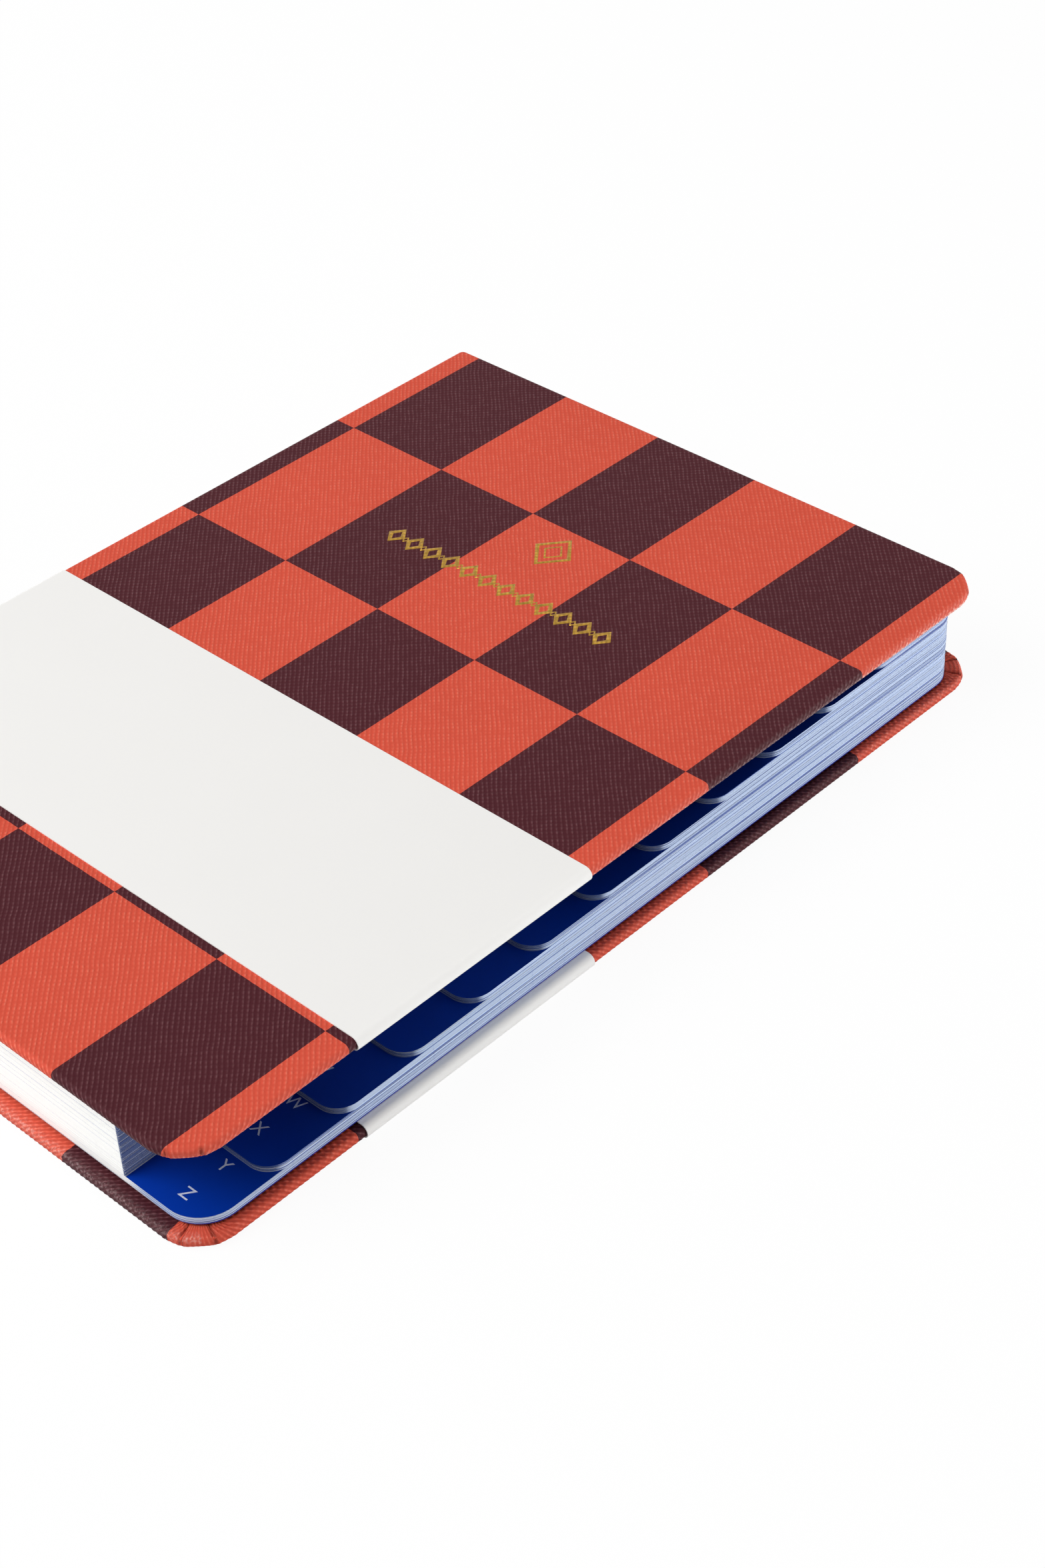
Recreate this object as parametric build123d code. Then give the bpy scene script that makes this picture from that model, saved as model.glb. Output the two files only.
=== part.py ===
from build123d import *
import os

# Address book lying on its back cover, spine to -X, tail to -Y, front cover up.
# Every length is in millimetres, and z = 0 is the underside of the paper band.

# Case
COVER_WIDTH = 141.0
COVER_LENGTH = 205.0
COVER_CORNER = 8.0
BOARD = 1.4
LEATHERETTE = 0.4
EDGE_ROUND = 0.9
TURN_IN = 15.0
SPINE_LIP = 1.5
ENDPAPER = 0.15
PASTEDOWN_MARGIN = 5.0
SPINE_LINER = 0.6
SPINE_TURN_IN = 12.0
HINGE_CREASE = 0.05

# Leaf block
SECTIONS = ("yz", "wx", "uv", "st", "qr", "op", "mn", "kl", "ij", "gh", "ef", "cd", "ab")
LEAVES = 7
LEAF = 0.16
LEAF_GAP = 0.02
TAB_DEPTH = 17.9
TAB_ROUND = 4.5
BLOCK_ROUND = 7.2
FORE_EDGE_SQUARE = 2.0
TAIL_SQUARE = 2.9
HEAD_SQUARE = 4.5
TAIL_TRIM = 0.95
HEAD_TRIM = 2.55
SPINE_LINING = 0.3
SPINE_LINING_END = 6.0
HOLLOW = 0.3

# Paper band
BAND_WIDTH = 55.0
BAND_CENTRE_Y = -38.3
BAND_PAPER = 0.2
BAND_CLEARANCE = 0.05
BAND_FLAP = 35.0

# Outlines derived from the driving sizes
HALF_W = COVER_WIDTH / 2
HALF_L = COVER_LENGTH / 2
CASE = BOARD + 2 * LEATHERETTE
FLAP_ROOM = BAND_PAPER + 2 * BAND_CLEARANCE
SPINE_IN_X = -HALF_W + 2 * LEATHERETTE + SPINE_LINER
BACKBONE_X = SPINE_IN_X + HOLLOW + SPINE_LINING
FORE_X = HALF_W - FORE_EDGE_SQUARE
CUT_X = FORE_X - TAB_DEPTH
TAIL_Y = -HALF_L + TAIL_SQUARE
HEAD_Y = HALF_L - HEAD_SQUARE
TAB_START = TAIL_Y - TAIL_TRIM
TAB_PITCH = (HEAD_Y + HEAD_TRIM - TAB_START) / len(SECTIONS)

# Heights from the floor up
LEAF_STEP = LEAF + LEAF_GAP
SECTION = LEAVES * LEAF_STEP
BACK_Z = BAND_PAPER + BAND_CLEARANCE
BACK_INNER_Z = BACK_Z + CASE + ENDPAPER
BLOCK_Z = BACK_INNER_Z + FLAP_ROOM
FIRST_LEAF_Z = BLOCK_Z + ENDPAPER + LEAF_GAP
LAST_LEAF_Z = FIRST_LEAF_Z + SECTION * len(SECTIONS)
FRONT_INNER_Z = LAST_LEAF_Z + ENDPAPER + FLAP_ROOM
FRONT_Z = FRONT_INNER_Z + ENDPAPER + CASE

os.makedirs("parts", exist_ok=True)


def block(x0, x1, y0, y1, z0, z1):
    """A square-cornered solid between two corners."""
    centre = Pos((x0 + x1) / 2, (y0 + y1) / 2, (z0 + z1) / 2)
    return centre * Box(x1 - x0, y1 - y0, z1 - z0)


def plate(x0, x1, half_length, radius, z0, z1):
    """A flat sheet with its two fore-edge corners rounded."""
    face = Pos((x0 + x1) / 2, 0) * Rectangle(x1 - x0, 2 * half_length)
    fore_corners = face.vertices().group_by(Axis.X)[-1]
    return Pos(0, 0, z0) * extrude(fillet(fore_corners, radius), z1 - z0)


def soften(solid, radius):
    """Round the edges round the top and bottom faces of a sheet."""
    levels = solid.faces().sort_by(Axis.Z)
    return fillet(levels[0].edges() + levels[-1].edges(), radius)


def flip(shape):
    """Turn a back-cover piece over to become the front-cover piece."""
    return Pos(0, 0, BACK_Z + FRONT_Z) * mirror(shape, about=Plane.XY)


def board():
    """Greyboard of the back cover."""
    return plate(
        -HALF_W + LEATHERETTE,
        HALF_W - LEATHERETTE,
        HALF_L - LEATHERETTE,
        COVER_CORNER - LEATHERETTE,
        BACK_Z + LEATHERETTE,
        BACK_Z + LEATHERETTE + BOARD,
    )


def window(clearance):
    """The space on the board's inner face that the turn-ins leave open."""
    return block(
        -HALF_W + SPINE_LIP + clearance,
        HALF_W - TURN_IN - clearance,
        -HALF_L + TURN_IN + clearance,
        HALF_L - TURN_IN - clearance,
        BACK_Z + LEATHERETTE + BOARD,
        BACK_Z + CASE + ENDPAPER,
    )


def cover_leatherette():
    """Covering over the outside and edges of the back board, turned in on the inside."""
    outside = plate(-HALF_W, HALF_W, HALF_L, COVER_CORNER, BACK_Z, BACK_Z + CASE)
    return soften(outside, EDGE_ROUND) - board() - window(0)


def pastedown():
    """Endpaper stuck down over the turn-ins and into the space between them."""
    sheet = plate(
        -HALF_W + SPINE_LIP / 2 + EDGE_ROUND / 2,
        HALF_W - PASTEDOWN_MARGIN,
        HALF_L - PASTEDOWN_MARGIN,
        COVER_CORNER - PASTEDOWN_MARGIN,
        BACK_Z + CASE,
        BACK_INNER_Z,
    )
    return sheet + window(LEAF_GAP)


def section_outline(step):
    """Leaf outline of one index section, cut away below its own tab."""
    tab_end = TAB_START + step * TAB_PITCH
    if step == 0:
        corners = [(BACKBONE_X, TAIL_Y), (FORE_X, TAIL_Y), (FORE_X, HEAD_Y), (BACKBONE_X, HEAD_Y)]
    else:
        corners = [
            (BACKBONE_X, TAIL_Y),
            (CUT_X, TAIL_Y),
            (CUT_X, tab_end),
            (FORE_X, tab_end),
            (FORE_X, HEAD_Y),
            (BACKBONE_X, HEAD_Y),
        ]
    face = Polygon(*corners, align=None)
    head_corner = face.vertices().group_by(Axis.X)[-1].sort_by(Axis.Y)[-1]
    wall_left = HEAD_Y - tab_end - TAB_ROUND - LEAF_GAP
    face = fillet(head_corner, min(BLOCK_ROUND, wall_left))
    tail_corner = face.vertices().group_by(Axis.X)[-1].sort_by(Axis.Y)[0]
    return fillet(tail_corner, BLOCK_ROUND if step == 0 else TAB_ROUND)


def section(step):
    """All the leaves of one index section, one above the other."""
    leaf = extrude(section_outline(step), LEAF)
    base = FIRST_LEAF_Z + step * SECTION
    return Compound([Pos(0, 0, base + k * LEAF_STEP) * leaf for k in range(LEAVES)])


def band_wrap():
    """Band round the back cover: under it, up both its edges and folded inside at the fore-edge."""
    half_inner = HALF_W + BAND_CLEARANCE
    low = BACK_Z - BAND_CLEARANCE
    high = BACK_INNER_Z + BAND_CLEARANCE
    centre = Pos(0, (low + high) / 2)
    bend = EDGE_ROUND + BAND_CLEARANCE
    inside = RectangleRounded(2 * half_inner, high - low, bend)
    outside = RectangleRounded(2 * (half_inner + BAND_PAPER), high - low + 2 * BAND_PAPER, bend + BAND_PAPER)
    ring = extrude(Plane.XZ * centre * (outside - inside), BAND_WIDTH / 2, both=True)
    lip_top = BACK_Z + CASE
    opening = block(-COVER_WIDTH, HALF_W - BAND_FLAP, -BAND_WIDTH, BAND_WIDTH, lip_top, lip_top + CASE)
    return Pos(0, BAND_CENTRE_Y) * (ring - opening)


# Back cover
back_board = board()
back_cover = cover_leatherette()
back_pastedown = pastedown()
export_step(back_board, "parts/back_board.step")
export_step(back_cover, "parts/back_cover_leatherette.step")
export_step(back_pastedown, "parts/back_pastedown.step")

# Front cover, the back cover turned over
export_step(flip(back_board), "parts/front_board.step")
export_step(flip(back_cover), "parts/front_cover_leatherette.step")
export_step(flip(back_pastedown), "parts/front_pastedown.step")

# Spine panel between the two covers
spine_z0 = BACK_INNER_Z + HINGE_CREASE
spine_z1 = FRONT_INNER_Z - HINGE_CREASE
spine_outer = -HALF_W + LEATHERETTE
spine_pocket = spine_outer + SPINE_LINER
spine_full = block(-HALF_W, SPINE_IN_X, -HALF_L, HALF_L, spine_z0, spine_z1)
liner = block(spine_outer, spine_pocket, -HALF_L + LEATHERETTE, HALF_L - LEATHERETTE, spine_z0, spine_z1)
spine_open_l = HALF_L - SPINE_TURN_IN
spine_open = block(spine_pocket, SPINE_IN_X, -spine_open_l, spine_open_l, spine_z0, spine_z1)
export_step(liner, "parts/spine_liner.step")
export_step(spine_full - liner - spine_open, "parts/spine_leatherette.step")

# Cloth glued down the back of the leaf block
lining_y0 = TAIL_Y + SPINE_LINING_END
lining_y1 = HEAD_Y - SPINE_LINING_END
lining = block(BACKBONE_X - SPINE_LINING, BACKBONE_X, lining_y0, lining_y1, FIRST_LEAF_Z, LAST_LEAF_Z - LEAF_GAP)
export_step(lining, "parts/spine_lining.step")

# Loose endpapers: the back one is whole, the front one is cut back to show every tab
back_flyleaf = Pos(0, 0, BLOCK_Z) * extrude(section_outline(0), ENDPAPER)
front_flyleaf = block(BACKBONE_X, CUT_X, TAIL_Y, HEAD_Y, LAST_LEAF_Z, LAST_LEAF_Z + ENDPAPER)
export_step(back_flyleaf, "parts/back_flyleaf.step")
export_step(front_flyleaf, "parts/front_flyleaf.step")

# Index sections from the last letters at the bottom to the first at the top
for step, letters in enumerate(SECTIONS):
    export_step(section(step), f"parts/index_{letters}.step")

# Paper band in the three lengths that its folds make
band_back = band_wrap()
band_y0 = BAND_CENTRE_Y - BAND_WIDTH / 2
band_y1 = BAND_CENTRE_Y + BAND_WIDTH / 2
band_outer_x = -HALF_W - BAND_CLEARANCE - BAND_PAPER
band_spine = block(band_outer_x, band_outer_x + BAND_PAPER, band_y0, band_y1, spine_z0, spine_z1)
export_step(band_back, "parts/band_back.step")
export_step(band_spine, "parts/band_spine.step")
export_step(flip(band_back), "parts/band_front.step")
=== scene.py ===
import math
from collections import namedtuple

import bpy
from bpy.props import FloatProperty, FloatVectorProperty, IntProperty, PointerProperty
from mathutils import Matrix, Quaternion, Vector, noise


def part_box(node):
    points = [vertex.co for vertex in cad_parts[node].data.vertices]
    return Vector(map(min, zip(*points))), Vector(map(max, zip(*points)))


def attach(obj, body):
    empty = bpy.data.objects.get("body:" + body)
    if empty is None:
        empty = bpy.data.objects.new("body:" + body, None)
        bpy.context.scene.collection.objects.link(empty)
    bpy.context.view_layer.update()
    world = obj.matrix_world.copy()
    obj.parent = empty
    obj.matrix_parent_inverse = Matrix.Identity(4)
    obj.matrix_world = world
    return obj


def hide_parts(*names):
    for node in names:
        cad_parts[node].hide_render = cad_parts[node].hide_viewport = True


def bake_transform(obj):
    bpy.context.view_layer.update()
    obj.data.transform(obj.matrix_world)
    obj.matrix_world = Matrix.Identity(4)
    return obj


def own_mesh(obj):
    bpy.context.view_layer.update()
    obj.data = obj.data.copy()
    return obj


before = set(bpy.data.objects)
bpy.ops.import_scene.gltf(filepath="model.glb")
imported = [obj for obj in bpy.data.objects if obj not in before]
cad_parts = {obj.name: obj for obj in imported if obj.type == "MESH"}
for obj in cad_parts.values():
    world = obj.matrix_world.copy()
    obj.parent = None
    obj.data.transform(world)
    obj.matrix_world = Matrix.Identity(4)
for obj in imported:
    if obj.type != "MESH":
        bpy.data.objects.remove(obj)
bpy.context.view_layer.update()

bl_info = {
    "name": "Step-indexed address book",
    "version": (1, 0, 0),
    "blender": (4, 5, 0),
    "location": "3D View > Sidebar > Address Book",
    "description": "Checked covers, step-cut index and paper band of an address book, over its CAD frame",
    "category": "Object",
}

# Places taken from the frame, in metres
BACK_LOW, BACK_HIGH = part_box("back_cover_leatherette")
FRONT_LOW, FRONT_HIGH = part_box("front_cover_leatherette")
SPINE_LOW, SPINE_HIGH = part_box("spine_leatherette")
SPINE_RADIUS = (SPINE_HIGH.x - SPINE_LOW.x) / 2
SPINE_MIDDLE = SPINE_LOW.x + SPINE_RADIUS
LINING_LOW, LINING_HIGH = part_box("spine_lining")
BAND_LOW, BAND_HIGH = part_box("band_front")
FLYLEAF_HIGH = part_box("front_flyleaf")[1]
SECTIONS = sorted(
    (node.removeprefix("index_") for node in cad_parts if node.startswith("index_")),
    key=lambda letters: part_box("index_" + letters)[0].z,
)
BLOCK_LOW, BLOCK_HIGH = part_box("index_" + SECTIONS[0])
CUT_X = FLYLEAF_HIGH.x
SECTION_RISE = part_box("index_" + SECTIONS[1])[0].z - BLOCK_LOW.z

# Names shared by meshes, node trees and materials
SKIN_UV = "Skin"
# Edge wear, which also paints shade in the grain's grooves
WEAR_AND_GROOVE_SHADE = "wear"
# Rubbing, partly wear and partly painted highlight
RUBBED_AND_HIGHLIT = "rubbed"
# Painted shade in the creases of the pleated corners
CREASE_SHADE = "crease"
LEAF_EDGE = "leaf_edge"
LEAF_TONE = "leaf_tone"
LEAF_NUMBER = "leaf_number"

QUARTER = math.pi / 2
DIAGONAL = math.sqrt(0.5)
MILLIMETRE = 0.001

# How far the grain wobbles on a face and over an edge, in pitches, and how far the print wanders, in metres
FACE_WOBBLE = 0.9
EDGE_WOBBLE = 0.2
PRINT_WANDER = 0.00016

# Colours that a finish adds to its own: red, green, blue and opacity
WHITE = (1.0, 1.0, 1.0, 1.0)
SEEN_FLOOR = (0.97, 0.97, 0.97, 1.0)
# Painted highlights on the grain's ridges, one colour for each check
ORANGE_PAINTED_HIGHLIGHT = (0.86, 0.26, 0.17, 1.0)
MAROON_PAINTED_HIGHLIGHT = (0.24, 0.11, 0.12, 1.0)
# Rubbed edges, partly wear and partly painted highlight
ORANGE_RUBBED_AND_HIGHLIT = (0.95, 0.66, 0.58, 1.0)
MAROON_RUBBED_AND_HIGHLIT = (0.46, 0.34, 0.34, 1.0)
# Navy lines at the fore-edge: painted shade in the gaps between leaves and sections, partly the blue edges
# of cards
EDGE_GAP_SHADE_AND_INK = (0.035, 0.075, 0.32, 1.0)
RULING_INK = (0.30, 0.36, 0.60, 1.0)
ENDPAPER_CUT = (0.78, 0.78, 0.86, 1.0)
ENDPAPER_CUT_FORE = (0.03, 0.045, 0.42, 1.0)
CLOTH_THREAD = (0.78, 0.74, 0.64, 1.0)
BOARD_GREY = (0.42, 0.40, 0.37)
LINER_GREY = (0.50, 0.47, 0.42)

# Thickness of the endpaper at its fold, and how far the fold reaches into the sheets that it joins
FOLD_PAPER = 0.00006
FOLD_OVERLAP = 0.00005

# Foil ornament: a row of lozenges with smaller ones between, and one lozenge within another
FOIL_RISE = 0.00006
FOIL_ROW = {"Count": 23, "Step": 0.0025, "Height": 0.0042, "Width": 0.0032, "Small": 0.36, "Line": 0.0012}
FOIL_EMBLEM = {"Count": 2, "Step": 0.0, "Height": 0.01, "Width": 0.0084, "Small": 0.5, "Line": 0.00105}
FOIL_ROW_PLACE = (-0.0008, 0.0406)
FOIL_EMBLEM_PLACE = (-0.0002, 0.0561)

# Place, aim and size of each lamp, in metres
KEY_LAMP = ((-0.80, -1.15, 1.50), (0.0, 0.0, 0.0), (1.8, 1.8))
FILL_LAMP = ((0.70, 0.60, 0.05), (0.0, 0.0, 0.01), (1.2, 0.09))
FLOOR_REACH = 6.0

# Width of the camera's sensor in millimetres, and the nearest that it sees in metres
SENSOR_WIDTH = 36.0
NEAREST_SEEN = 0.01


def tab_end_of(letters):
    """Where a section's tab ends towards the tail, read from its CAD leaves."""
    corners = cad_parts["index_" + letters].data.vertices
    return min(corner.co.y for corner in corners if corner.co.x > CUT_X + MILLIMETRE)


TAB_ENDS = [tab_end_of(letters) for letters in SECTIONS]
TAB_PITCH = TAB_ENDS[2] - TAB_ENDS[1]


class CoverSettings(bpy.types.PropertyGroup):
    """Sizes and colours of the case"""

    corner_radius: FloatProperty(
        name="Corner radius",
        description="Round of the two fore-edge corners",
        default=0.008,
        unit="LENGTH",
    )
    spine_corner: FloatProperty(
        name="Spine corner",
        description="Small round of the corners at the spine",
        default=0.0014,
        unit="LENGTH",
    )
    edge_round: FloatProperty(
        name="Edge round",
        description="Round of the board edges under the covering",
        default=0.0009,
        unit="LENGTH",
    )
    skin: FloatProperty(
        name="Covering thickness",
        description="Thickness of the leatherette",
        default=0.0004,
        unit="LENGTH",
    )
    board_slack: FloatProperty(
        name="Board slack",
        description="How far the boards lie inside the covering",
        default=0.00035,
        unit="LENGTH",
    )
    turn_in: FloatProperty(
        name="Turn-in",
        description="Width of covering modelled inside the boards",
        default=0.0075,
        unit="LENGTH",
    )
    spine_lip: FloatProperty(
        name="Spine lip",
        description="Width of covering inside the spine edge",
        default=0.0015,
        unit="LENGTH",
    )
    spine_turn_in: FloatProperty(
        name="Spine turn-in",
        description="Covering folded in at head and tail of the spine",
        default=0.012,
        unit="LENGTH",
    )
    crease: FloatProperty(
        name="Hinge crease",
        description="Depth of the crease along each hinge",
        default=0.00030,
        unit="LENGTH",
    )
    middle_flat: FloatProperty(
        name="Middle flat",
        description="Share of a corner's turn between its two pleats",
        default=0.46,
    )
    flatness: FloatProperty(
        name="Flatness",
        description="How flat a corner is between its pleats, from a round arc to straight cuts",
        default=0.8,
    )
    pleat_depth: FloatProperty(
        name="Pleat depth",
        description="Step of each pleat in a corner's turn-in",
        default=0.00032,
        unit="LENGTH",
    )
    check_width: FloatProperty(
        name="Check width",
        description="Printed check across the book",
        default=0.026,
        unit="LENGTH",
    )
    check_length: FloatProperty(
        name="Check length",
        description="Printed check along the book",
        default=0.04377,
        unit="LENGTH",
    )
    check_start: FloatVectorProperty(
        name="Check start",
        description="A corner where four checks meet",
        size=2,
        default=(-0.0648, 0.020),
        unit="LENGTH",
    )
    back_shift: FloatProperty(
        name="Back shift",
        description="How far the back cover's print lies towards the spine",
        default=0.0019,
        unit="LENGTH",
    )
    grain_pitch: FloatProperty(
        name="Grain pitch",
        description="Distance between two ridges of the cross grain",
        default=0.00084,
        unit="LENGTH",
    )
    grain_relief: FloatProperty(
        name="Grain relief",
        description="Height of the ridges over the edges",
        default=0.00013,
        unit="LENGTH",
    )
    orange: FloatVectorProperty(
        name="Light check",
        description="Colour of the light checks",
        subtype="COLOR",
        default=(0.662, 0.085, 0.049),
    )
    maroon: FloatVectorProperty(
        name="Dark check",
        description="Colour of the dark checks",
        subtype="COLOR",
        default=(0.065, 0.0121, 0.0172),
    )
    foil: FloatVectorProperty(
        name="Foil",
        description="Colour of the stamped foil",
        subtype="COLOR",
        default=(0.44, 0.25, 0.038),
    )
    endpaper: FloatVectorProperty(
        name="Endpaper",
        description="Colour of the endpapers",
        subtype="COLOR",
        default=(0.012, 0.022, 0.18),
    )


class LeafSettings(bpy.types.PropertyGroup):
    """Sizes and colours of the index leaves"""

    leaves: IntProperty(name="Leaves", description="Leaves in each section", default=7, min=1)
    leaf: FloatProperty(
        name="Leaf",
        description="Thickness of one leaf",
        default=0.000174,
        unit="LENGTH",
    )
    tab_round: FloatProperty(
        name="Tab round",
        description="Radius of a tab's cut corner",
        default=0.0045,
        unit="LENGTH",
    )
    block_round: FloatProperty(
        name="Block round",
        description="Radius of the leaves' corners at head and tail",
        default=0.0072,
        unit="LENGTH",
    )
    stagger: FloatProperty(
        name="Stagger",
        description="How unevenly the leaves are trimmed",
        default=0.00014,
        unit="LENGTH",
    )
    seed: IntProperty(name="Seed", description="Seed of the uneven trim", default=11)
    letter_height: FloatProperty(
        name="Letter height",
        description="Cap height of the tab letters",
        default=0.0026,
        unit="LENGTH",
    )
    letter_inset: FloatProperty(
        name="Letter inset",
        description="Middle of a letter from the fore-edge",
        default=0.0078,
        unit="LENGTH",
    )
    letter_start: FloatProperty(
        name="Letter start",
        description="First letter of a tab from its tail end",
        default=0.0129,
        unit="LENGTH",
    )
    letter_step: FloatProperty(
        name="Letter step",
        description="Distance between the two letters of a tab",
        default=0.0079,
        unit="LENGTH",
    )
    letter_creep: FloatProperty(
        name="Letter creep",
        description="How much further in the next tab's letters are",
        default=0.00095,
        unit="LENGTH",
    )
    ink: FloatProperty(
        name="Ink",
        description="Thickness of the printed letters",
        default=0.00001,
        unit="LENGTH",
    )
    ruling: FloatProperty(
        name="Ruling",
        description="Distance between two writing lines",
        default=0.008,
        unit="LENGTH",
    )
    tab_blue: FloatVectorProperty(
        name="Tab",
        description="Colour of the index cards",
        subtype="COLOR",
        default=(0.0004, 0.033, 0.34),
    )
    page: FloatVectorProperty(
        name="Page",
        description="Colour of the paper",
        subtype="COLOR",
        default=(0.875, 0.878, 0.862),
    )
    edge_blue: FloatVectorProperty(
        name="Fore-edge",
        description="Blue cast of the trimmed fore-edge",
        subtype="COLOR",
        default=(0.50, 0.61, 0.83),
    )
    # Navy of the step cuts: partly ink, partly painted shade under the front cover
    step_ink_and_shade: FloatVectorProperty(
        name="Step cuts",
        description="Ink along the step cuts",
        subtype="COLOR",
        default=(0.032, 0.060, 0.18),
    )
    letter: FloatVectorProperty(
        name="Letter",
        description="Colour of the tab letters",
        subtype="COLOR",
        default=(0.62, 0.68, 0.82),
    )


class BandSettings(bpy.types.PropertyGroup):
    """Sizes and colour of the paper band"""

    paper: FloatProperty(
        name="Paper",
        description="Thickness of the band",
        default=0.0002,
        unit="LENGTH",
    )
    fold: FloatProperty(
        name="Fold",
        description="Radius of the folds at the spine",
        default=0.0011,
        unit="LENGTH",
    )
    roll: FloatProperty(
        name="Roll",
        description="How far the band rolls out past the fore-edge",
        default=0.0001,
        unit="LENGTH",
    )
    flap: FloatProperty(
        name="Flap",
        description="Length folded inside each cover",
        default=0.035,
        unit="LENGTH",
    )
    ripple: FloatProperty(
        name="Ripple",
        description="How far the paper lies from flat",
        default=0.00005,
        unit="LENGTH",
    )
    white: FloatVectorProperty(
        name="Paper white",
        description="Colour of the band",
        subtype="COLOR",
        default=(0.885, 0.875, 0.855),
    )


class StageSettings(bpy.types.PropertyGroup):
    """Camera and light"""

    place: FloatVectorProperty(
        name="Camera",
        description="Where the camera stands",
        default=(0.3132, -0.2677, 0.3207),
        unit="LENGTH",
    )
    aim: FloatVectorProperty(
        name="Aim",
        description="Point in the middle of the picture",
        default=(0.04545, -0.00107, 0.022),
        unit="LENGTH",
    )
    roll: FloatProperty(
        name="Roll",
        description="Tilt of the camera",
        default=math.radians(-2.87),
        unit="ROTATION",
    )
    lens: FloatProperty(name="Lens", description="Focal length in millimetres", default=62.8)
    key: FloatProperty(
        name="Key",
        description="Power of the large soft lamp",
        default=49.2,
        unit="POWER",
    )
    fill: FloatProperty(
        name="Fill",
        description="Power of the low lamp facing the fore-edge",
        default=7.5,
        unit="POWER",
    )
    sky: FloatProperty(
        name="Sky",
        description="Strength of the even light all round",
        default=0.24,
    )
    floor: FloatVectorProperty(
        name="Floor",
        description="Colour of the floor",
        subtype="COLOR",
        default=(0.75, 0.75, 0.75),
    )


# Node helpers

SHADER_TREE = "ShaderNodeTree"
GEOMETRY_TREE = "GeometryNodeTree"
FLOAT = "NodeSocketFloat"
INTEGER = "NodeSocketInt"
VECTOR = "NodeSocketVector"
COLOUR = "NodeSocketColor"
STRING = "NodeSocketString"
GEOMETRY = "NodeSocketGeometry"
MATERIAL = "NodeSocketMaterial"

# Sockets of a Mix node when it mixes colours
MIX_FACTOR, MIX_FIRST, MIX_SECOND = 0, 6, 7
MIX_RESULT = 2


def feed(tree, socket, value):
    """Link another socket to this one, or set its own value."""
    if isinstance(value, bpy.types.NodeSocket):
        tree.links.new(value, socket)
    else:
        socket.default_value = value


def put(tree, kind, inputs=None, **settings):
    """Add a node with its settings, and feed the inputs that are named."""
    made = tree.nodes.new(kind)
    for name, value in settings.items():
        setattr(made, name, value)
    for name, value in (inputs or {}).items():
        feed(tree, made.inputs[name], value)
    return made


def maths(tree):
    """A function that adds one Math node to the tree and returns its result."""

    def result(operation, *values):
        made = put(tree, "ShaderNodeMath", operation=operation)
        for socket, value in zip(made.inputs, values):
            feed(tree, socket, value)
        return made.outputs[0]

    return result


def between(tree, value, at_zero, at_one):
    """A number that goes evenly from one to another as the value goes from 0 to 1."""
    return maths(tree)("MULTIPLY_ADD", value, at_one - at_zero, at_zero)


def ranged(tree, value, low, high, to_low=0.0, to_high=1.0):
    """A value taken smoothly from one range to another."""
    made = put(
        tree,
        "ShaderNodeMapRange",
        {"Value": value, "From Min": low, "From Max": high, "To Min": to_low, "To Max": to_high},
        interpolation_type="SMOOTHSTEP",
    )
    return made.outputs["Result"]


def blended(tree, factor, first, second, how="MIX"):
    """One colour mixed into another."""
    made = put(tree, "ShaderNodeMix", data_type="RGBA", blend_type=how)
    for place, value in ((MIX_FACTOR, factor), (MIX_FIRST, first), (MIX_SECOND, second)):
        feed(tree, made.inputs[place], value)
    return made.outputs[MIX_RESULT]


def toned(tree, colour, tone, at_zero, at_one):
    """A colour made darker or lighter by a tone that goes from 0 to 1."""
    shade = between(tree, tone, at_zero, at_one)
    grey = put(tree, "ShaderNodeCombineColor", {"Red": shade, "Green": shade, "Blue": shade})
    return blended(tree, 1.0, colour, grey.outputs["Color"], "MULTIPLY")


def speckle(tree, vector, scale, detail=2.0):
    """Soft noise of that many spots to the metre."""
    noise_node = put(tree, "ShaderNodeTexNoise", {"Vector": vector, "Scale": scale, "Detail": detail})
    return noise_node.outputs["Fac"]


def stretched(tree, vector, scale):
    """Coordinates with each axis scaled by itself."""
    return put(tree, "ShaderNodeMapping", {"Vector": vector, "Scale": scale}).outputs["Vector"]


def axes_of(tree, vector):
    """The three parts of a vector."""
    parts = put(tree, "ShaderNodeSeparateXYZ", {"Vector": vector}).outputs
    return parts["X"], parts["Y"], parts["Z"]


def vector_of(tree, **parts):
    """A vector from the parts that are named, the others 0."""
    return put(tree, "ShaderNodeCombineXYZ", parts).outputs["Vector"]


def solid_colour(colour):
    """A colour setting with full opacity."""
    return (*colour, 1.0)


def new_group(name, kind, inputs, outputs):
    """Start a node group with named sockets, and return it with what goes in and what comes out."""
    tree = bpy.data.node_groups.new(name, kind)
    for label, socket_type, default in inputs:
        socket = tree.interface.new_socket(label, in_out="INPUT", socket_type=socket_type)
        if default is not None:
            socket.default_value = default
    for label, socket_type in outputs:
        tree.interface.new_socket(label, in_out="OUTPUT", socket_type=socket_type)
    return tree, tree.nodes.new("NodeGroupInput").outputs, tree.nodes.new("NodeGroupOutput").inputs


def once(store, name, make):
    """The data block of that name, made the first time that it is asked for."""
    return store.get(name) or make()


# Surface effects


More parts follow.
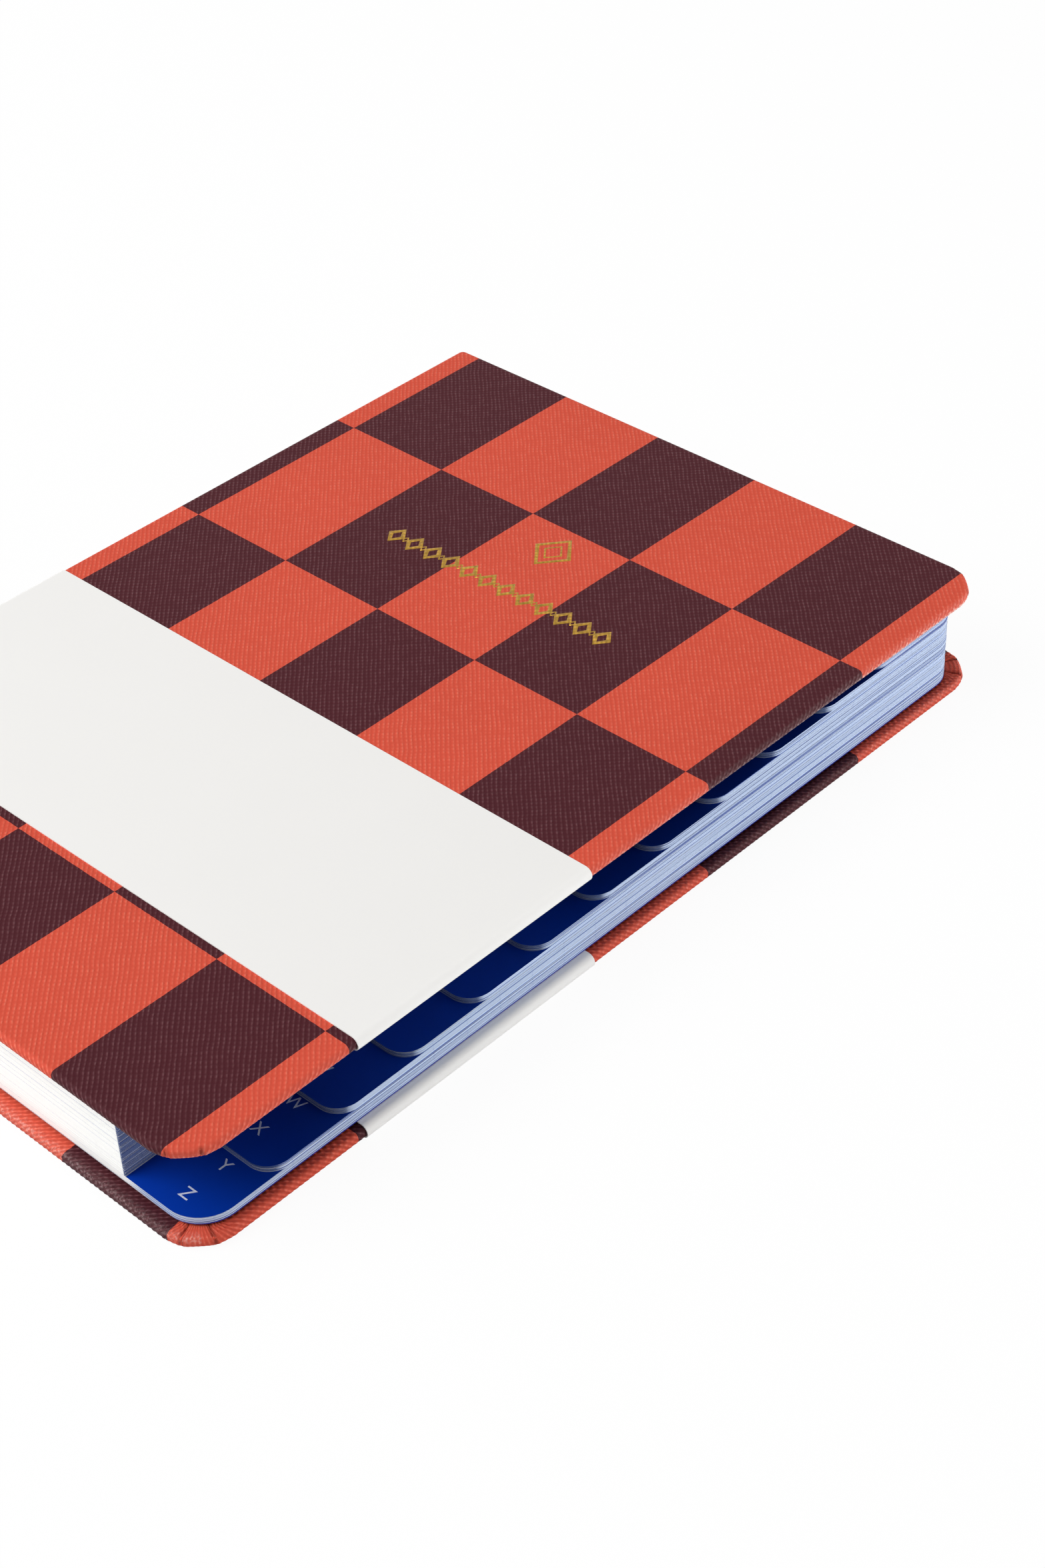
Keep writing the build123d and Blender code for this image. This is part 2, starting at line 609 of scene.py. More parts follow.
def check_print_group():
    """Mask of the dark checks, with the faint wander of a printed edge."""
    tree, given, out = new_group(
        "Check print",
        SHADER_TREE,
        [
            ("Surface", VECTOR, None),
            ("Width", FLOAT, 0.026),
            ("Length", FLOAT, 0.044),
            ("Start X", FLOAT, 0.0),
            ("Start Y", FLOAT, 0.0),
            ("Wander", FLOAT, 0.0001),
        ],
        [("Dark", FLOAT)],
    )
    m = maths(tree)
    x, y, _ = axes_of(tree, given["Surface"])
    drift = m("SUBTRACT", speckle(tree, given["Surface"], scale=1400.0), 0.5)
    uneven = m("MULTIPLY", drift, given["Wander"])

    def check_number(along, start, size):
        from_start = m("ADD", m("SUBTRACT", along, given[start]), uneven)
        return m("FLOOR", m("DIVIDE", from_start, given[size]))

    column = check_number(x, "Start X", "Width")
    row = check_number(y, "Start Y", "Length")
    feed(tree, out["Dark"], m("FLOORED_MODULO", m("ADD", column, row), 2.0))
    return tree


def cross_grain_group():
    """Pressed cross grain: ridges along one diagonal, cut into dashes along the other; the dashes are
    painted highlights on the ridges.
    """
    tree, given, out = new_group(
        "Cross grain",
        SHADER_TREE,
        [("Surface", VECTOR, None), ("Pitch", FLOAT, 0.0008), ("Wobble", FLOAT, 0.5)],
        [("Height", FLOAT), ("Painted Highlight", FLOAT), ("Ridge", FLOAT)],
    )
    m = maths(tree)
    x, y, _ = axes_of(tree, given["Surface"])
    drift = m("SUBTRACT", speckle(tree, given["Surface"], scale=150.0, detail=5.0), 0.5)
    wobble = m("MULTIPLY", drift, given["Wobble"])

    def wave(direction, pitches):
        along = m("MULTIPLY", m(direction, x, y), DIAGONAL / pitches)
        turns = m("ADD", m("DIVIDE", along, given["Pitch"]), wobble)
        return between(tree, m("COSINE", m("MULTIPLY", turns, math.tau)), 0.5, 1.0)

    ridge_sharpness, cut_sharpness = 4.5, 0.8
    ridge = wave("ADD", pitches=1.0)
    cut = wave("SUBTRACT", pitches=1.25)
    pebble = m("MULTIPLY", between(tree, ridge, 0.25, 1.0), between(tree, cut, 0.35, 1.0))
    gaps = between(tree, m("POWER", cut, cut_sharpness), 0.35, 1.0)
    # Painted highlights: short bright dashes on the ridges
    highlight_dash = m("MULTIPLY", m("POWER", ridge, ridge_sharpness), gaps)
    uneven = ranged(tree, speckle(tree, given["Surface"], scale=520.0, detail=4.0), low=0.36, high=0.66)
    feed(tree, out["Height"], m("MULTIPLY", pebble, between(tree, uneven, 0.5, 1.0)))
    feed(tree, out["Painted Highlight"], m("MULTIPLY", highlight_dash, between(tree, uneven, 0.35, 1.0)))
    feed(tree, out["Ridge"], ridge)
    return tree


def edge_wear_and_highlight_group():
    """Rubbed specks with painted highlights where the mesh marks an edge as rubbed and highlit, more of them
    on the tops of the grain.
    """
    tree, given, out = new_group(
        "Edge wear and highlight",
        SHADER_TREE,
        [("Surface", VECTOR, None), ("Exposed", FLOAT, 0.0), ("Top", FLOAT, 1.0), ("Scale", FLOAT, 1700.0)],
        [("Worn And Highlit", FLOAT)],
    )
    m = maths(tree)
    all_over = 0.12
    broken = ranged(tree, speckle(tree, given["Surface"], given["Scale"]), low=0.46, high=0.62)
    rubbed = m("MULTIPLY_ADD", between(tree, given["Top"], 0.3, 1.0), broken, all_over)
    feed(tree, out["Worn And Highlit"], m("MULTIPLY", given["Exposed"], rubbed))
    return tree


def paper_fibre_group():
    """Cloudy formation and fine fibres of a sheet of paper."""
    tree, given, out = new_group(
        "Paper fibre",
        SHADER_TREE,
        [("Surface", VECTOR, None), ("Cloud Scale", FLOAT, 60.0), ("Fibre Scale", FLOAT, 2500.0)],
        [("Tone", FLOAT), ("Height", FLOAT)],
    )
    m = maths(tree)
    cloud_share = 0.6
    cloud = speckle(tree, given["Surface"], given["Cloud Scale"], detail=4.0)
    drawn_out = stretched(tree, given["Surface"], (1.0, 0.35, 1.0))
    fibre = speckle(tree, drawn_out, given["Fibre Scale"], detail=3.0)
    feed(tree, out["Tone"], m("MULTIPLY_ADD", cloud, cloud_share, m("MULTIPLY", fibre, 1.0 - cloud_share)))
    feed(tree, out["Height"], fibre)
    return tree


def gap_shade_and_ink_lines(tree, surface, tone):
    """Mask of navy lines at the fore-edge: painted shade in the gaps between some leaves, partly the blue
    edges of cards, and painted shade where two sections part near the head.
    """
    m = maths(tree)
    _, y, z = axes_of(tree, surface)
    streaks = speckle(tree, stretched(tree, surface, (14.0, 14.0, 2600.0)), scale=1.0, detail=1.0)
    darker_leaves = ranged(tree, tone, low=0.30, high=0.16)
    dark_leaf_lines = m("MULTIPLY", darker_leaves, ranged(tree, streaks, low=0.36, high=0.52))
    parting = len(SECTIONS) - 1.97
    sections_up = m("DIVIDE", m("SUBTRACT", z, BLOCK_LOW.z), SECTION_RISE)
    gape = ranged(tree, y, low=0.055, high=0.092, to_high=0.22)
    # Painted shade where two sections part near the head
    parted = m("LESS_THAN", m("ABSOLUTE", m("SUBTRACT", sections_up, parting)), gape)
    return m("MAXIMUM", dark_leaf_lines, parted)


def step_cut_ink_and_shade(tree, surface, number, head_end):
    """Mask of the navy on the step cuts, partly ink and partly painted shade that is strongest at the cut
    side under the cover; it lies above the lowest section and ends before the head corner.
    """
    m = maths(tree)
    x, y, z = axes_of(tree, surface)
    from_cut = ranged(tree, x, CUT_X - 0.0006, CUT_X - 0.0003)
    before_edge = ranged(tree, x, BLOCK_HIGH.x - 0.00018, BLOCK_HIGH.x - 0.0008)
    above = m("GREATER_THAN", z, BLOCK_LOW.z + SECTION_RISE - 0.00003)
    below = m("LESS_THAN", y, head_end)
    upper = ranged(tree, number, low=0.4, high=0.6, to_low=0.80)
    # Painted shade: the navy is strongest at the cut side, deepest under the cover
    strength = ranged(tree, x, CUT_X + 0.0003, CUT_X + 0.004, to_low=0.97, to_high=0.86)
    cut = m("MULTIPLY", m("MULTIPLY", from_cut, before_edge), upper)
    return m("MULTIPLY", m("MULTIPLY", cut, m("MULTIPLY", above, below)), strength)


def trimmed_edge_group():
    """Trimmed paper: white at head and tail, pale blue at the fore-edge with navy lines of painted gap
    shade, and navy on the step cuts that is partly ink and partly painted shade.
    """
    tree, given, out = new_group(
        "Trimmed edge",
        SHADER_TREE,
        [
            ("Surface", VECTOR, None),
            ("Leaf Tone", FLOAT, 0.5),
            ("Leaf Number", FLOAT, 1.0),
            ("Head End", FLOAT, 0.09),
            ("Paper", COLOUR, WHITE),
            ("Fore-edge", COLOUR, WHITE),
            ("Gap Shade And Ink", COLOUR, EDGE_GAP_SHADE_AND_INK),
            ("Step Ink And Shade", COLOUR, EDGE_GAP_SHADE_AND_INK),
        ],
        [("Colour", COLOUR)],
    )
    m = maths(tree)
    gap_shade_strength, fading = 0.85, 0.6
    x, _, _ = axes_of(tree, given["Surface"])
    tinted = ranged(tree, x, CUT_X - 0.0012, CUT_X + 0.006)
    faded = m("MULTIPLY", tinted, m("SUBTRACT", 1.0, m("POWER", given["Leaf Tone"], fading)))
    gap_shade_lines = gap_shade_and_ink_lines(tree, given["Surface"], given["Leaf Tone"])
    gap_shade_lines = m("MULTIPLY", gap_shade_lines, m("MULTIPLY", tinted, gap_shade_strength))
    inked_and_shaded = step_cut_ink_and_shade(tree, given["Surface"], given["Leaf Number"], given["Head End"])
    colour = blended(tree, tinted, given["Paper"], given["Fore-edge"])
    colour = toned(tree, colour, m("SUBTRACT", 1.0, faded), 0.70, 1.12)
    colour = blended(tree, gap_shade_lines, colour, given["Gap Shade And Ink"])
    feed(tree, out["Colour"], blended(tree, inked_and_shaded, colour, given["Step Ink And Shade"]))
    return tree


GROUPS = {
    "Check print": check_print_group,
    "Cross grain": cross_grain_group,
    "Edge wear and highlight": edge_wear_and_highlight_group,
    "Paper fibre": paper_fibre_group,
    "Trimmed edge": trimmed_edge_group,
}


def effect(tree, name, inputs):
    """Place an effect in a material with its own values."""
    made = tree.nodes.new("ShaderNodeGroup")
    made.node_tree = once(bpy.data.node_groups, name, GROUPS[name])
    for label, value in inputs.items():
        feed(tree, made.inputs[label], value)
    return made.outputs


# Finishes


def new_material(name):
    """An empty finish: its material, node tree and main shader."""
    made = bpy.data.materials.new(name)
    made.use_nodes = True
    return made, made.node_tree, made.node_tree.nodes["Principled BSDF"]


def object_surface(tree):
    """The piece's own coordinates in metres."""
    return put(tree, "ShaderNodeTexCoord").outputs["Object"]


def attribute(tree, name):
    """A value that the mesh carries."""
    return put(tree, "ShaderNodeAttribute", attribute_name=name).outputs["Fac"]


def seen(tree):
    """1 for rays from the camera, and for those that mirrors and glass pass on."""
    m = maths(tree)
    path = put(tree, "ShaderNodeLightPath").outputs
    passed_on = m("MAXIMUM", path["Is Glossy Ray"], path["Is Transmission Ray"])
    return m("MAXIMUM", path["Is Camera Ray"], passed_on)


def relief(tree, shader, height, depth, strength):
    """Fine relief of the surface, its depth in metres."""
    bump = put(tree, "ShaderNodeBump", {"Height": height, "Distance": depth, "Strength": strength})
    tree.links.new(bump.outputs["Normal"], shader.inputs["Normal"])


def check_leatherette():
    """Printed leatherette with a pressed cross grain, rubbed along its edges, with painted highlights on its
    grain and rubbed edges and painted shade in its grooves and creases.
    """
    covers = bpy.context.scene.book_covers
    made, tree, shader = new_material("Check leatherette")
    m = maths(tree)
    painted_highlight_strength, worn_shine = 0.52, 0.1
    surface = put(tree, "ShaderNodeUVMap", uv_map=SKIN_UV).outputs["UV"]
    checks = {
        "Surface": surface,
        "Width": covers.check_width,
        "Length": covers.check_length,
        "Start X": covers.check_start[0],
        "Start Y": covers.check_start[1],
        "Wander": PRINT_WANDER,
    }
    dark = effect(tree, "Check print", checks)["Dark"]
    exposed = attribute(tree, WEAR_AND_GROOVE_SHADE)
    wobble = between(tree, exposed, FACE_WOBBLE, EDGE_WOBBLE)
    grain = effect(tree, "Cross grain", {"Surface": surface, "Pitch": covers.grain_pitch, "Wobble": wobble})
    rub_and_highlight_marks = {"Surface": surface, "Exposed": attribute(tree, RUBBED_AND_HIGHLIT), "Top": grain["Height"]}
    worn_and_highlit = effect(tree, "Edge wear and highlight", rub_and_highlight_marks)["Worn And Highlit"]
    painted_groove_shade = m("MULTIPLY", exposed, m("SUBTRACT", 1.0, grain["Ridge"]))
    colour = blended(tree, dark, solid_colour(covers.orange), solid_colour(covers.maroon))
    colour = toned(tree, colour, speckle(tree, surface, scale=45.0, detail=3.0), 0.94, 1.06)
    # Painted shade in the grain's hollows, its tops painted lighter
    colour = toned(tree, colour, grain["Height"], 0.93, 1.07)
    # Painted shade in the grooves over the edges, the ribs between them a little lighter
    colour = toned(tree, colour, painted_groove_shade, 1.04, 0.80)
    # Painted highlights on the grain's ridges
    painted_highlight = m("MULTIPLY", grain["Painted Highlight"], painted_highlight_strength)
    colour = blended(tree, painted_highlight, colour, blended(tree, dark, ORANGE_PAINTED_HIGHLIGHT, MAROON_PAINTED_HIGHLIGHT))
    # Rubbed edges, partly wear and partly painted highlight
    colour = blended(tree, worn_and_highlit, colour, blended(tree, dark, ORANGE_RUBBED_AND_HIGHLIT, MAROON_RUBBED_AND_HIGHLIT))
    # Painted shade in the creases of the pleated corners
    colour = toned(tree, colour, attribute(tree, CREASE_SHADE), 1.0, 0.3)
    feed(tree, shader.inputs["Base Color"], colour)
    rough = between(tree, grain["Height"], 0.58, 0.43)
    feed(tree, shader.inputs["Roughness"], m("SUBTRACT", rough, m("MULTIPLY", worn_and_highlit, worn_shine)))
    shader.inputs["Specular IOR Level"].default_value = 0.07
    relief(tree, shader, grain["Height"], depth=0.00016, strength=0.75)
    return made


def paper_finish(name, colour, rough, tones):
    """Plain paper or card of one colour, with the darkest and lightest of its tones."""
    made, tree, shader = new_material(name)
    fibre = effect(tree, "Paper fibre", {"Surface": object_surface(tree)})
    feed(tree, shader.inputs["Base Color"], toned(tree, solid_colour(colour), fibre["Tone"], *tones))
    rough_spread = 0.12
    feed(tree, shader.inputs["Roughness"], between(tree, fibre["Tone"], rough, rough + rough_spread))
    shader.inputs["Specular IOR Level"].default_value = 0.3
    relief(tree, shader, fibre["Height"], depth=0.00002, strength=0.5)
    return made


def cut_paper(tree, surface):
    """The trimmed edge of a leaf in the book's own colours."""
    leaves = bpy.context.scene.book_leaves
    trimmed = {
        "Surface": surface,
        "Leaf Tone": attribute(tree, LEAF_TONE),
        "Leaf Number": attribute(tree, LEAF_NUMBER),
        "Head End": BLOCK_HIGH.y - leaves.block_round,
        "Paper": solid_colour(leaves.page),
        "Fore-edge": solid_colour(leaves.edge_blue),
        "Gap Shade And Ink": EDGE_GAP_SHADE_AND_INK,
        "Step Ink And Shade": solid_colour(leaves.step_ink_and_shade),
    }
    return effect(tree, "Trimmed edge", trimmed)["Colour"]


def page_paper():
    """White writing paper with printed lines, its trimmed edges stained at the tabs."""
    leaves = bpy.context.scene.book_leaves
    made, tree, shader = new_material("Page paper")
    m = maths(tree)
    surface = object_surface(tree)
    fibre = effect(tree, "Paper fibre", {"Surface": surface})
    cut = attribute(tree, LEAF_EDGE)
    _, y, _ = axes_of(tree, surface)
    line_share, line_strength = 0.035, 0.55
    line = m("LESS_THAN", m("FRACT", m("DIVIDE", y, leaves.ruling)), line_share)
    face = toned(tree, solid_colour(leaves.page), fibre["Tone"], 0.96, 1.03)
    face = blended(tree, m("MULTIPLY", line, line_strength), face, RULING_INK)
    feed(tree, shader.inputs["Base Color"], blended(tree, cut, face, cut_paper(tree, surface)))
    feed(tree, shader.inputs["Roughness"], between(tree, fibre["Tone"], 0.7, 0.8))
    shader.inputs["Specular IOR Level"].default_value = 0.25
    fibres_on_face = m("MULTIPLY", fibre["Height"], m("SUBTRACT", 1.0, cut))
    relief(tree, shader, fibres_on_face, depth=0.00001, strength=0.4)
    return made


def tab_card():
    """Smooth blue card of the first leaf in a section, pale where it is cut."""
    leaves = bpy.context.scene.book_leaves
    made, tree, shader = new_material("Tab card")
    surface = object_surface(tree)
    fibre = effect(tree, "Paper fibre", {"Surface": surface, "Cloud Scale": 140.0})
    cut = attribute(tree, LEAF_EDGE)
    face = toned(tree, solid_colour(leaves.tab_blue), fibre["Tone"], 0.90, 1.10)
    feed(tree, shader.inputs["Base Color"], blended(tree, cut, face, cut_paper(tree, surface)))
    face_rough = between(tree, fibre["Tone"], 0.32, 0.42)
    cut_rougher = 0.3
    feed(tree, shader.inputs["Roughness"], maths(tree)("MULTIPLY_ADD", cut, cut_rougher, face_rough))
    shader.inputs["Specular IOR Level"].default_value = 0.10
    relief(tree, shader, fibre["Height"], depth=0.000006, strength=0.4)
    return made


def letter_ink():
    """Pale print on the tabs, a little uneven."""
    made, tree, shader = new_material("Letter ink")
    tone = speckle(tree, object_surface(tree), scale=3000.0, detail=3.0)
    letter = solid_colour(bpy.context.scene.book_leaves.letter)
    feed(tree, shader.inputs["Base Color"], toned(tree, letter, tone, 0.85, 1.1))
    feed(tree, shader.inputs["Roughness"], between(tree, tone, 0.45, 0.60))
    return made


def gold_foil():
    """Hot-stamped foil, pressed into the grain."""
    covers = bpy.context.scene.book_covers
    made, tree, shader = new_material("Gold foil")
    surface = object_surface(tree)
    pressed = {"Surface": surface, "Pitch": covers.grain_pitch, "Wobble": FACE_WOBBLE}
    grain = effect(tree, "Cross grain", pressed)
    # Painted highlights and shade on the foil: a speckled tone, darker in the grain's hollows and lighter on
    # its tops
    tone = speckle(tree, surface, scale=900.0, detail=3.0)
    colour = toned(tree, solid_colour(covers.foil), tone, 0.5, 1.6)
    feed(tree, shader.inputs["Base Color"], toned(tree, colour, grain["Height"], 0.7, 1.35))
    feed(tree, shader.inputs["Roughness"], between(tree, tone, 0.16, 0.41))
    shader.inputs["Metallic"].default_value = 1.0
    relief(tree, shader, grain["Height"], depth=0.0001, strength=0.6)
    return made


def lining_cloth():
    """Open weave of the cloth on the back of the leaves."""
    made, tree, shader = new_material("Lining cloth")
    m = maths(tree)
    thread = 0.0006
    _, y, z = axes_of(tree, object_surface(tree))
    warp, weft = (m("SINE", m("MULTIPLY", along, math.tau / thread)) for along in (y, z))
    weave = between(tree, m("MULTIPLY", warp, weft), 0.5, 1.0)
    feed(tree, shader.inputs["Base Color"], toned(tree, CLOTH_THREAD, weave, 0.75, 1.05))
    feed(tree, shader.inputs["Roughness"], between(tree, weave, 0.95, 0.85))
    relief(tree, shader, weave, depth=0.0001, strength=0.8)
    return made


def floor_finish():
    """Pale floor that the camera sees as white apart from the shadow."""
    made, tree, shader = new_material("Pale floor")
    shader.inputs["Roughness"].default_value = 0.9
    shader.inputs["Specular IOR Level"].default_value = 0.0
    looked_at = seen(tree)
    floor = blended(tree, looked_at, solid_colour(bpy.context.scene.book_stage.floor), SEEN_FLOOR)
    cloud = speckle(tree, object_surface(tree), scale=3.0)
    feed(tree, shader.inputs["Base Color"], toned(tree, floor, cloud, 0.99, 1.01))
    white = put(tree, "ShaderNodeEmission", {"Color": WHITE, "Strength": 1.0})
    white_share = between(tree, looked_at, 0.0, 0.95)
    mix = put(tree, "ShaderNodeMixShader", {"Fac": white_share})
    tree.links.new(shader.outputs["BSDF"], mix.inputs[1])
    tree.links.new(white.outputs["Emission"], mix.inputs[2])
    tree.links.new(mix.outputs["Shader"], tree.nodes["Material Output"].inputs["Surface"])
    return made


def endpaper_finish():
    """Deep blue endpaper, pale where it is cut."""
    covers = bpy.context.scene.book_covers
    made, tree, shader = new_material("Endpaper")
    surface = object_surface(tree)
    fibre = effect(tree, "Paper fibre", {"Surface": surface})
    x, _, _ = axes_of(tree, surface)
    face = toned(tree, solid_colour(covers.endpaper), fibre["Tone"], 0.88, 1.12)
    at_cut = blended(tree, ranged(tree, x, CUT_X, BLOCK_HIGH.x), ENDPAPER_CUT, ENDPAPER_CUT_FORE)
    cut = between(tree, attribute(tree, LEAF_EDGE), 0.0, 0.95)
    feed(tree, shader.inputs["Base Color"], blended(tree, cut, face, at_cut))
    feed(tree, shader.inputs["Roughness"], between(tree, fibre["Tone"], 0.55, 0.67))
    shader.inputs["Specular IOR Level"].default_value = 0.2
    relief(tree, shader, fibre["Height"], depth=0.00002, strength=0.5)
    return made


def band_finish():
    """White coated paper of the band."""
    return paper_finish("Band paper", bpy.context.scene.book_band.white, rough=0.5, tones=(0.985, 1.015))


def greyboard():
    """Grey board of the covers."""
    return paper_finish("Greyboard", BOARD_GREY, rough=0.85, tones=(0.75, 1.15))


def liner_card():
    """Thin card inside the spine."""
    return paper_finish("Liner card", LINER_GREY, rough=0.8, tones=(0.8, 1.1))


FINISHES = {
    "Check leatherette": check_leatherette,
    "Page paper": page_paper,
    "Tab card": tab_card,
    "Letter ink": letter_ink,
    "Gold foil": gold_foil,
    "Lining cloth": lining_cloth,
    "Pale floor": floor_finish,
    "Endpaper": endpaper_finish,
    "Band paper": band_finish,
    "Greyboard": greyboard,
    "Liner card": liner_card,
}


def finish(name):
    """A finish by name, made once."""
    return once(bpy.data.materials, name, FINISHES[name])


# Mesh helpers


def smoothed(mesh, angle=40.0):
    """Shade a mesh smoothly, with corners sharper than the angle in degrees kept sharp."""
    mesh.shade_smooth()
    mesh.set_sharp_from_angle(angle=math.radians(angle))
    return mesh


def linked(name, data):
    """A new object of the scene with that mesh, lamp or camera."""
    made = bpy.data.objects.new(name, data)
    bpy.context.scene.collection.objects.link(made)
    return made


def add_piece(name, mesh, body, stands_for=()):
    """Link a finished mesh as a piece that rides on a CAD body."""
    piece = linked(name, mesh)
    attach(piece, body)
    if stands_for:
        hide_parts(*stands_for)
    return piece


def plain_mesh(name, holder):
    """The holder's mesh with its modifiers applied; the holder is removed."""
    bpy.context.view_layer.update()
    graph = bpy.context.evaluated_depsgraph_get()
    result = bpy.data.meshes.new_from_object(
        holder.evaluated_get(graph), preserve_all_data_layers=True, depsgraph=graph
    )
    bpy.data.objects.remove(holder)
    result.name = name
    return result


def thickened(name, mesh, thickness, offset):
    """Give an open skin its thickness and return the closed mesh."""
    holder = linked(name, mesh)
    wall = holder.modifiers.new("Wall", "SOLIDIFY")
    wall.thickness = thickness
    wall.offset = offset
    return plain_mesh(name, holder)


def grown(name, tree, start, inputs):
    """Run a geometry tree on a starting mesh and return the result as a plain mesh."""
    holder = linked(name, start)
    modifier = holder.modifiers.new(tree.name, "NODES")
    modifier.node_group = tree
    sockets = {
        item.name: item.identifier
        for item in tree.interface.items_tree
        if item.item_type == "SOCKET" and item.in_out == "INPUT"
    }
    for label, value in inputs.items():
        modifier[sockets[label]] = value
    return plain_mesh(name, holder)


def faces_between(rows, count, closed=False):
    """Faces between rows of points, all rows of that count; closed rows join their ends."""
    faces = []
    for row in range(rows - 1):
        low, high = row * count, (row + 1) * count
        for k in range(count if closed else count - 1):
            after = (k + 1) % count
            faces.append((low + k, low + after, high + after, high + k))
    return faces


def new_mesh(name, vertices, faces, finish_name):
    """A mesh of these points and faces in one finish."""
    mesh = bpy.data.meshes.new(name)
    mesh.from_pydata(vertices, [], faces)
    mesh.materials.append(finish(finish_name))
    return mesh


def leatherette_mesh(name, vertices, faces, places, marks):
    """A skin of leatherette that carries its place on the print and its marks of wear, rubbing, painted
    highlight and painted shade.
    """
    mesh = new_mesh(name, vertices, faces, "Check leatherette")
    uv = mesh.uv_layers.new(name=SKIN_UV)
    for loop in mesh.loops:
        uv.data[loop.index].uv = places[loop.vertex_index]
    for mark, values in marks.items():
        mesh.attributes.new(mark, "FLOAT", "POINT").data.foreach_set("value", values)
    return mesh


def corner_arc(before, corner, after, radius, steps):
    """Points of a square corner rounded to that radius, from the side before it to the side after it."""
    back = (before - corner).normalized()
    on = (after - corner).normalized()
    centre = corner + (back + on) * radius
    turns = [QUARTER * step / steps for step in range(steps + 1)]
    return [centre - (on * math.cos(turn) + back * math.sin(turn)) * radius for turn in turns]


def rounded_outline(corners, steps=10):
    """Points round a closed outline of square corners, each given as x, y and its radius."""
    points = []
    spots = [Vector((x, y)) for x, y, _ in corners]
    for place, (_, _, radius) in enumerate(corners):
        if radius:
            after = spots[(place + 1) % len(spots)]
            points.extend(corner_arc(spots[place - 1], spots[place], after, radius, steps))
        else:
            points.append(spots[place])
    return points


def outline_mesh(name, points):
    """A closed ring of edges through these points."""
    mesh = bpy.data.meshes.new(name)
    count = len(points)
    mesh.from_pydata([(p.x, p.y, 0.0) for p in points], [(k, (k + 1) % count) for k in range(count)], [])
    return mesh


# Geometry trees


def with_mark(tree, geometry, name, value, domain):
    """Nodes that store a value on the geometry for a finish to read."""
    stored = put(
        tree,
        "GeometryNodeStoreNamedAttribute",
        {"Geometry": geometry, "Name": name, "Value": value},
        data_type="FLOAT",
        domain=domain,
    )
    return stored.outputs["Geometry"]


def with_finish(tree, geometry, material, **where):
    """Nodes that realise the geometry's instances and give it a finish, all over or where it is selected."""
    whole = put(tree, "GeometryNodeRealizeInstances", {"Geometry": geometry}).outputs["Geometry"]
    given = {"Geometry": whole, "Material": material, **where}
    return put(tree, "GeometryNodeSetMaterial", given).outputs["Geometry"]


def moved_by(tree, geometry, **change):
    """Nodes that move, turn or scale the geometry."""
    return put(tree, "GeometryNodeTransform", {"Geometry": geometry, **change}).outputs["Geometry"]


def row_of_points(tree, count, start, step):
    """Nodes that lay points in a straight row, and the number of each."""
    line = put(tree, "GeometryNodeMeshLine", {"Count": count, "Start Location": start, "Offset": step})
    return line.outputs["Mesh"], put(tree, "GeometryNodeInputIndex").outputs["Index"]


def solid_sheet(tree, curve, thickness):
    """Nodes that fill a flat closed curve and raise it to a closed sheet; its cut sides are marked."""
    doubles = 1e-7
    filled = put(tree, "GeometryNodeFillCurve", {"Curve": curve}, mode="NGONS").outputs["Mesh"]
    sides = {"Mesh": filled, "Offset Scale": thickness, "Individual": False}
    raised = put(tree, "GeometryNodeExtrudeMesh", sides).outputs
    marked = with_mark(tree, raised["Mesh"], LEAF_EDGE, raised["Side"], "FACE")
    under = put(tree, "GeometryNodeFlipFaces", {"Mesh": filled}).outputs["Mesh"]
    whole = tree.nodes.new("GeometryNodeJoinGeometry")
    for half in (marked, under):
        tree.links.new(half, whole.inputs["Geometry"])
    joined = {"Geometry": whole.outputs["Geometry"], "Distance": doubles}
    return put(tree, "GeometryNodeMergeByDistance", joined).outputs["Geometry"]


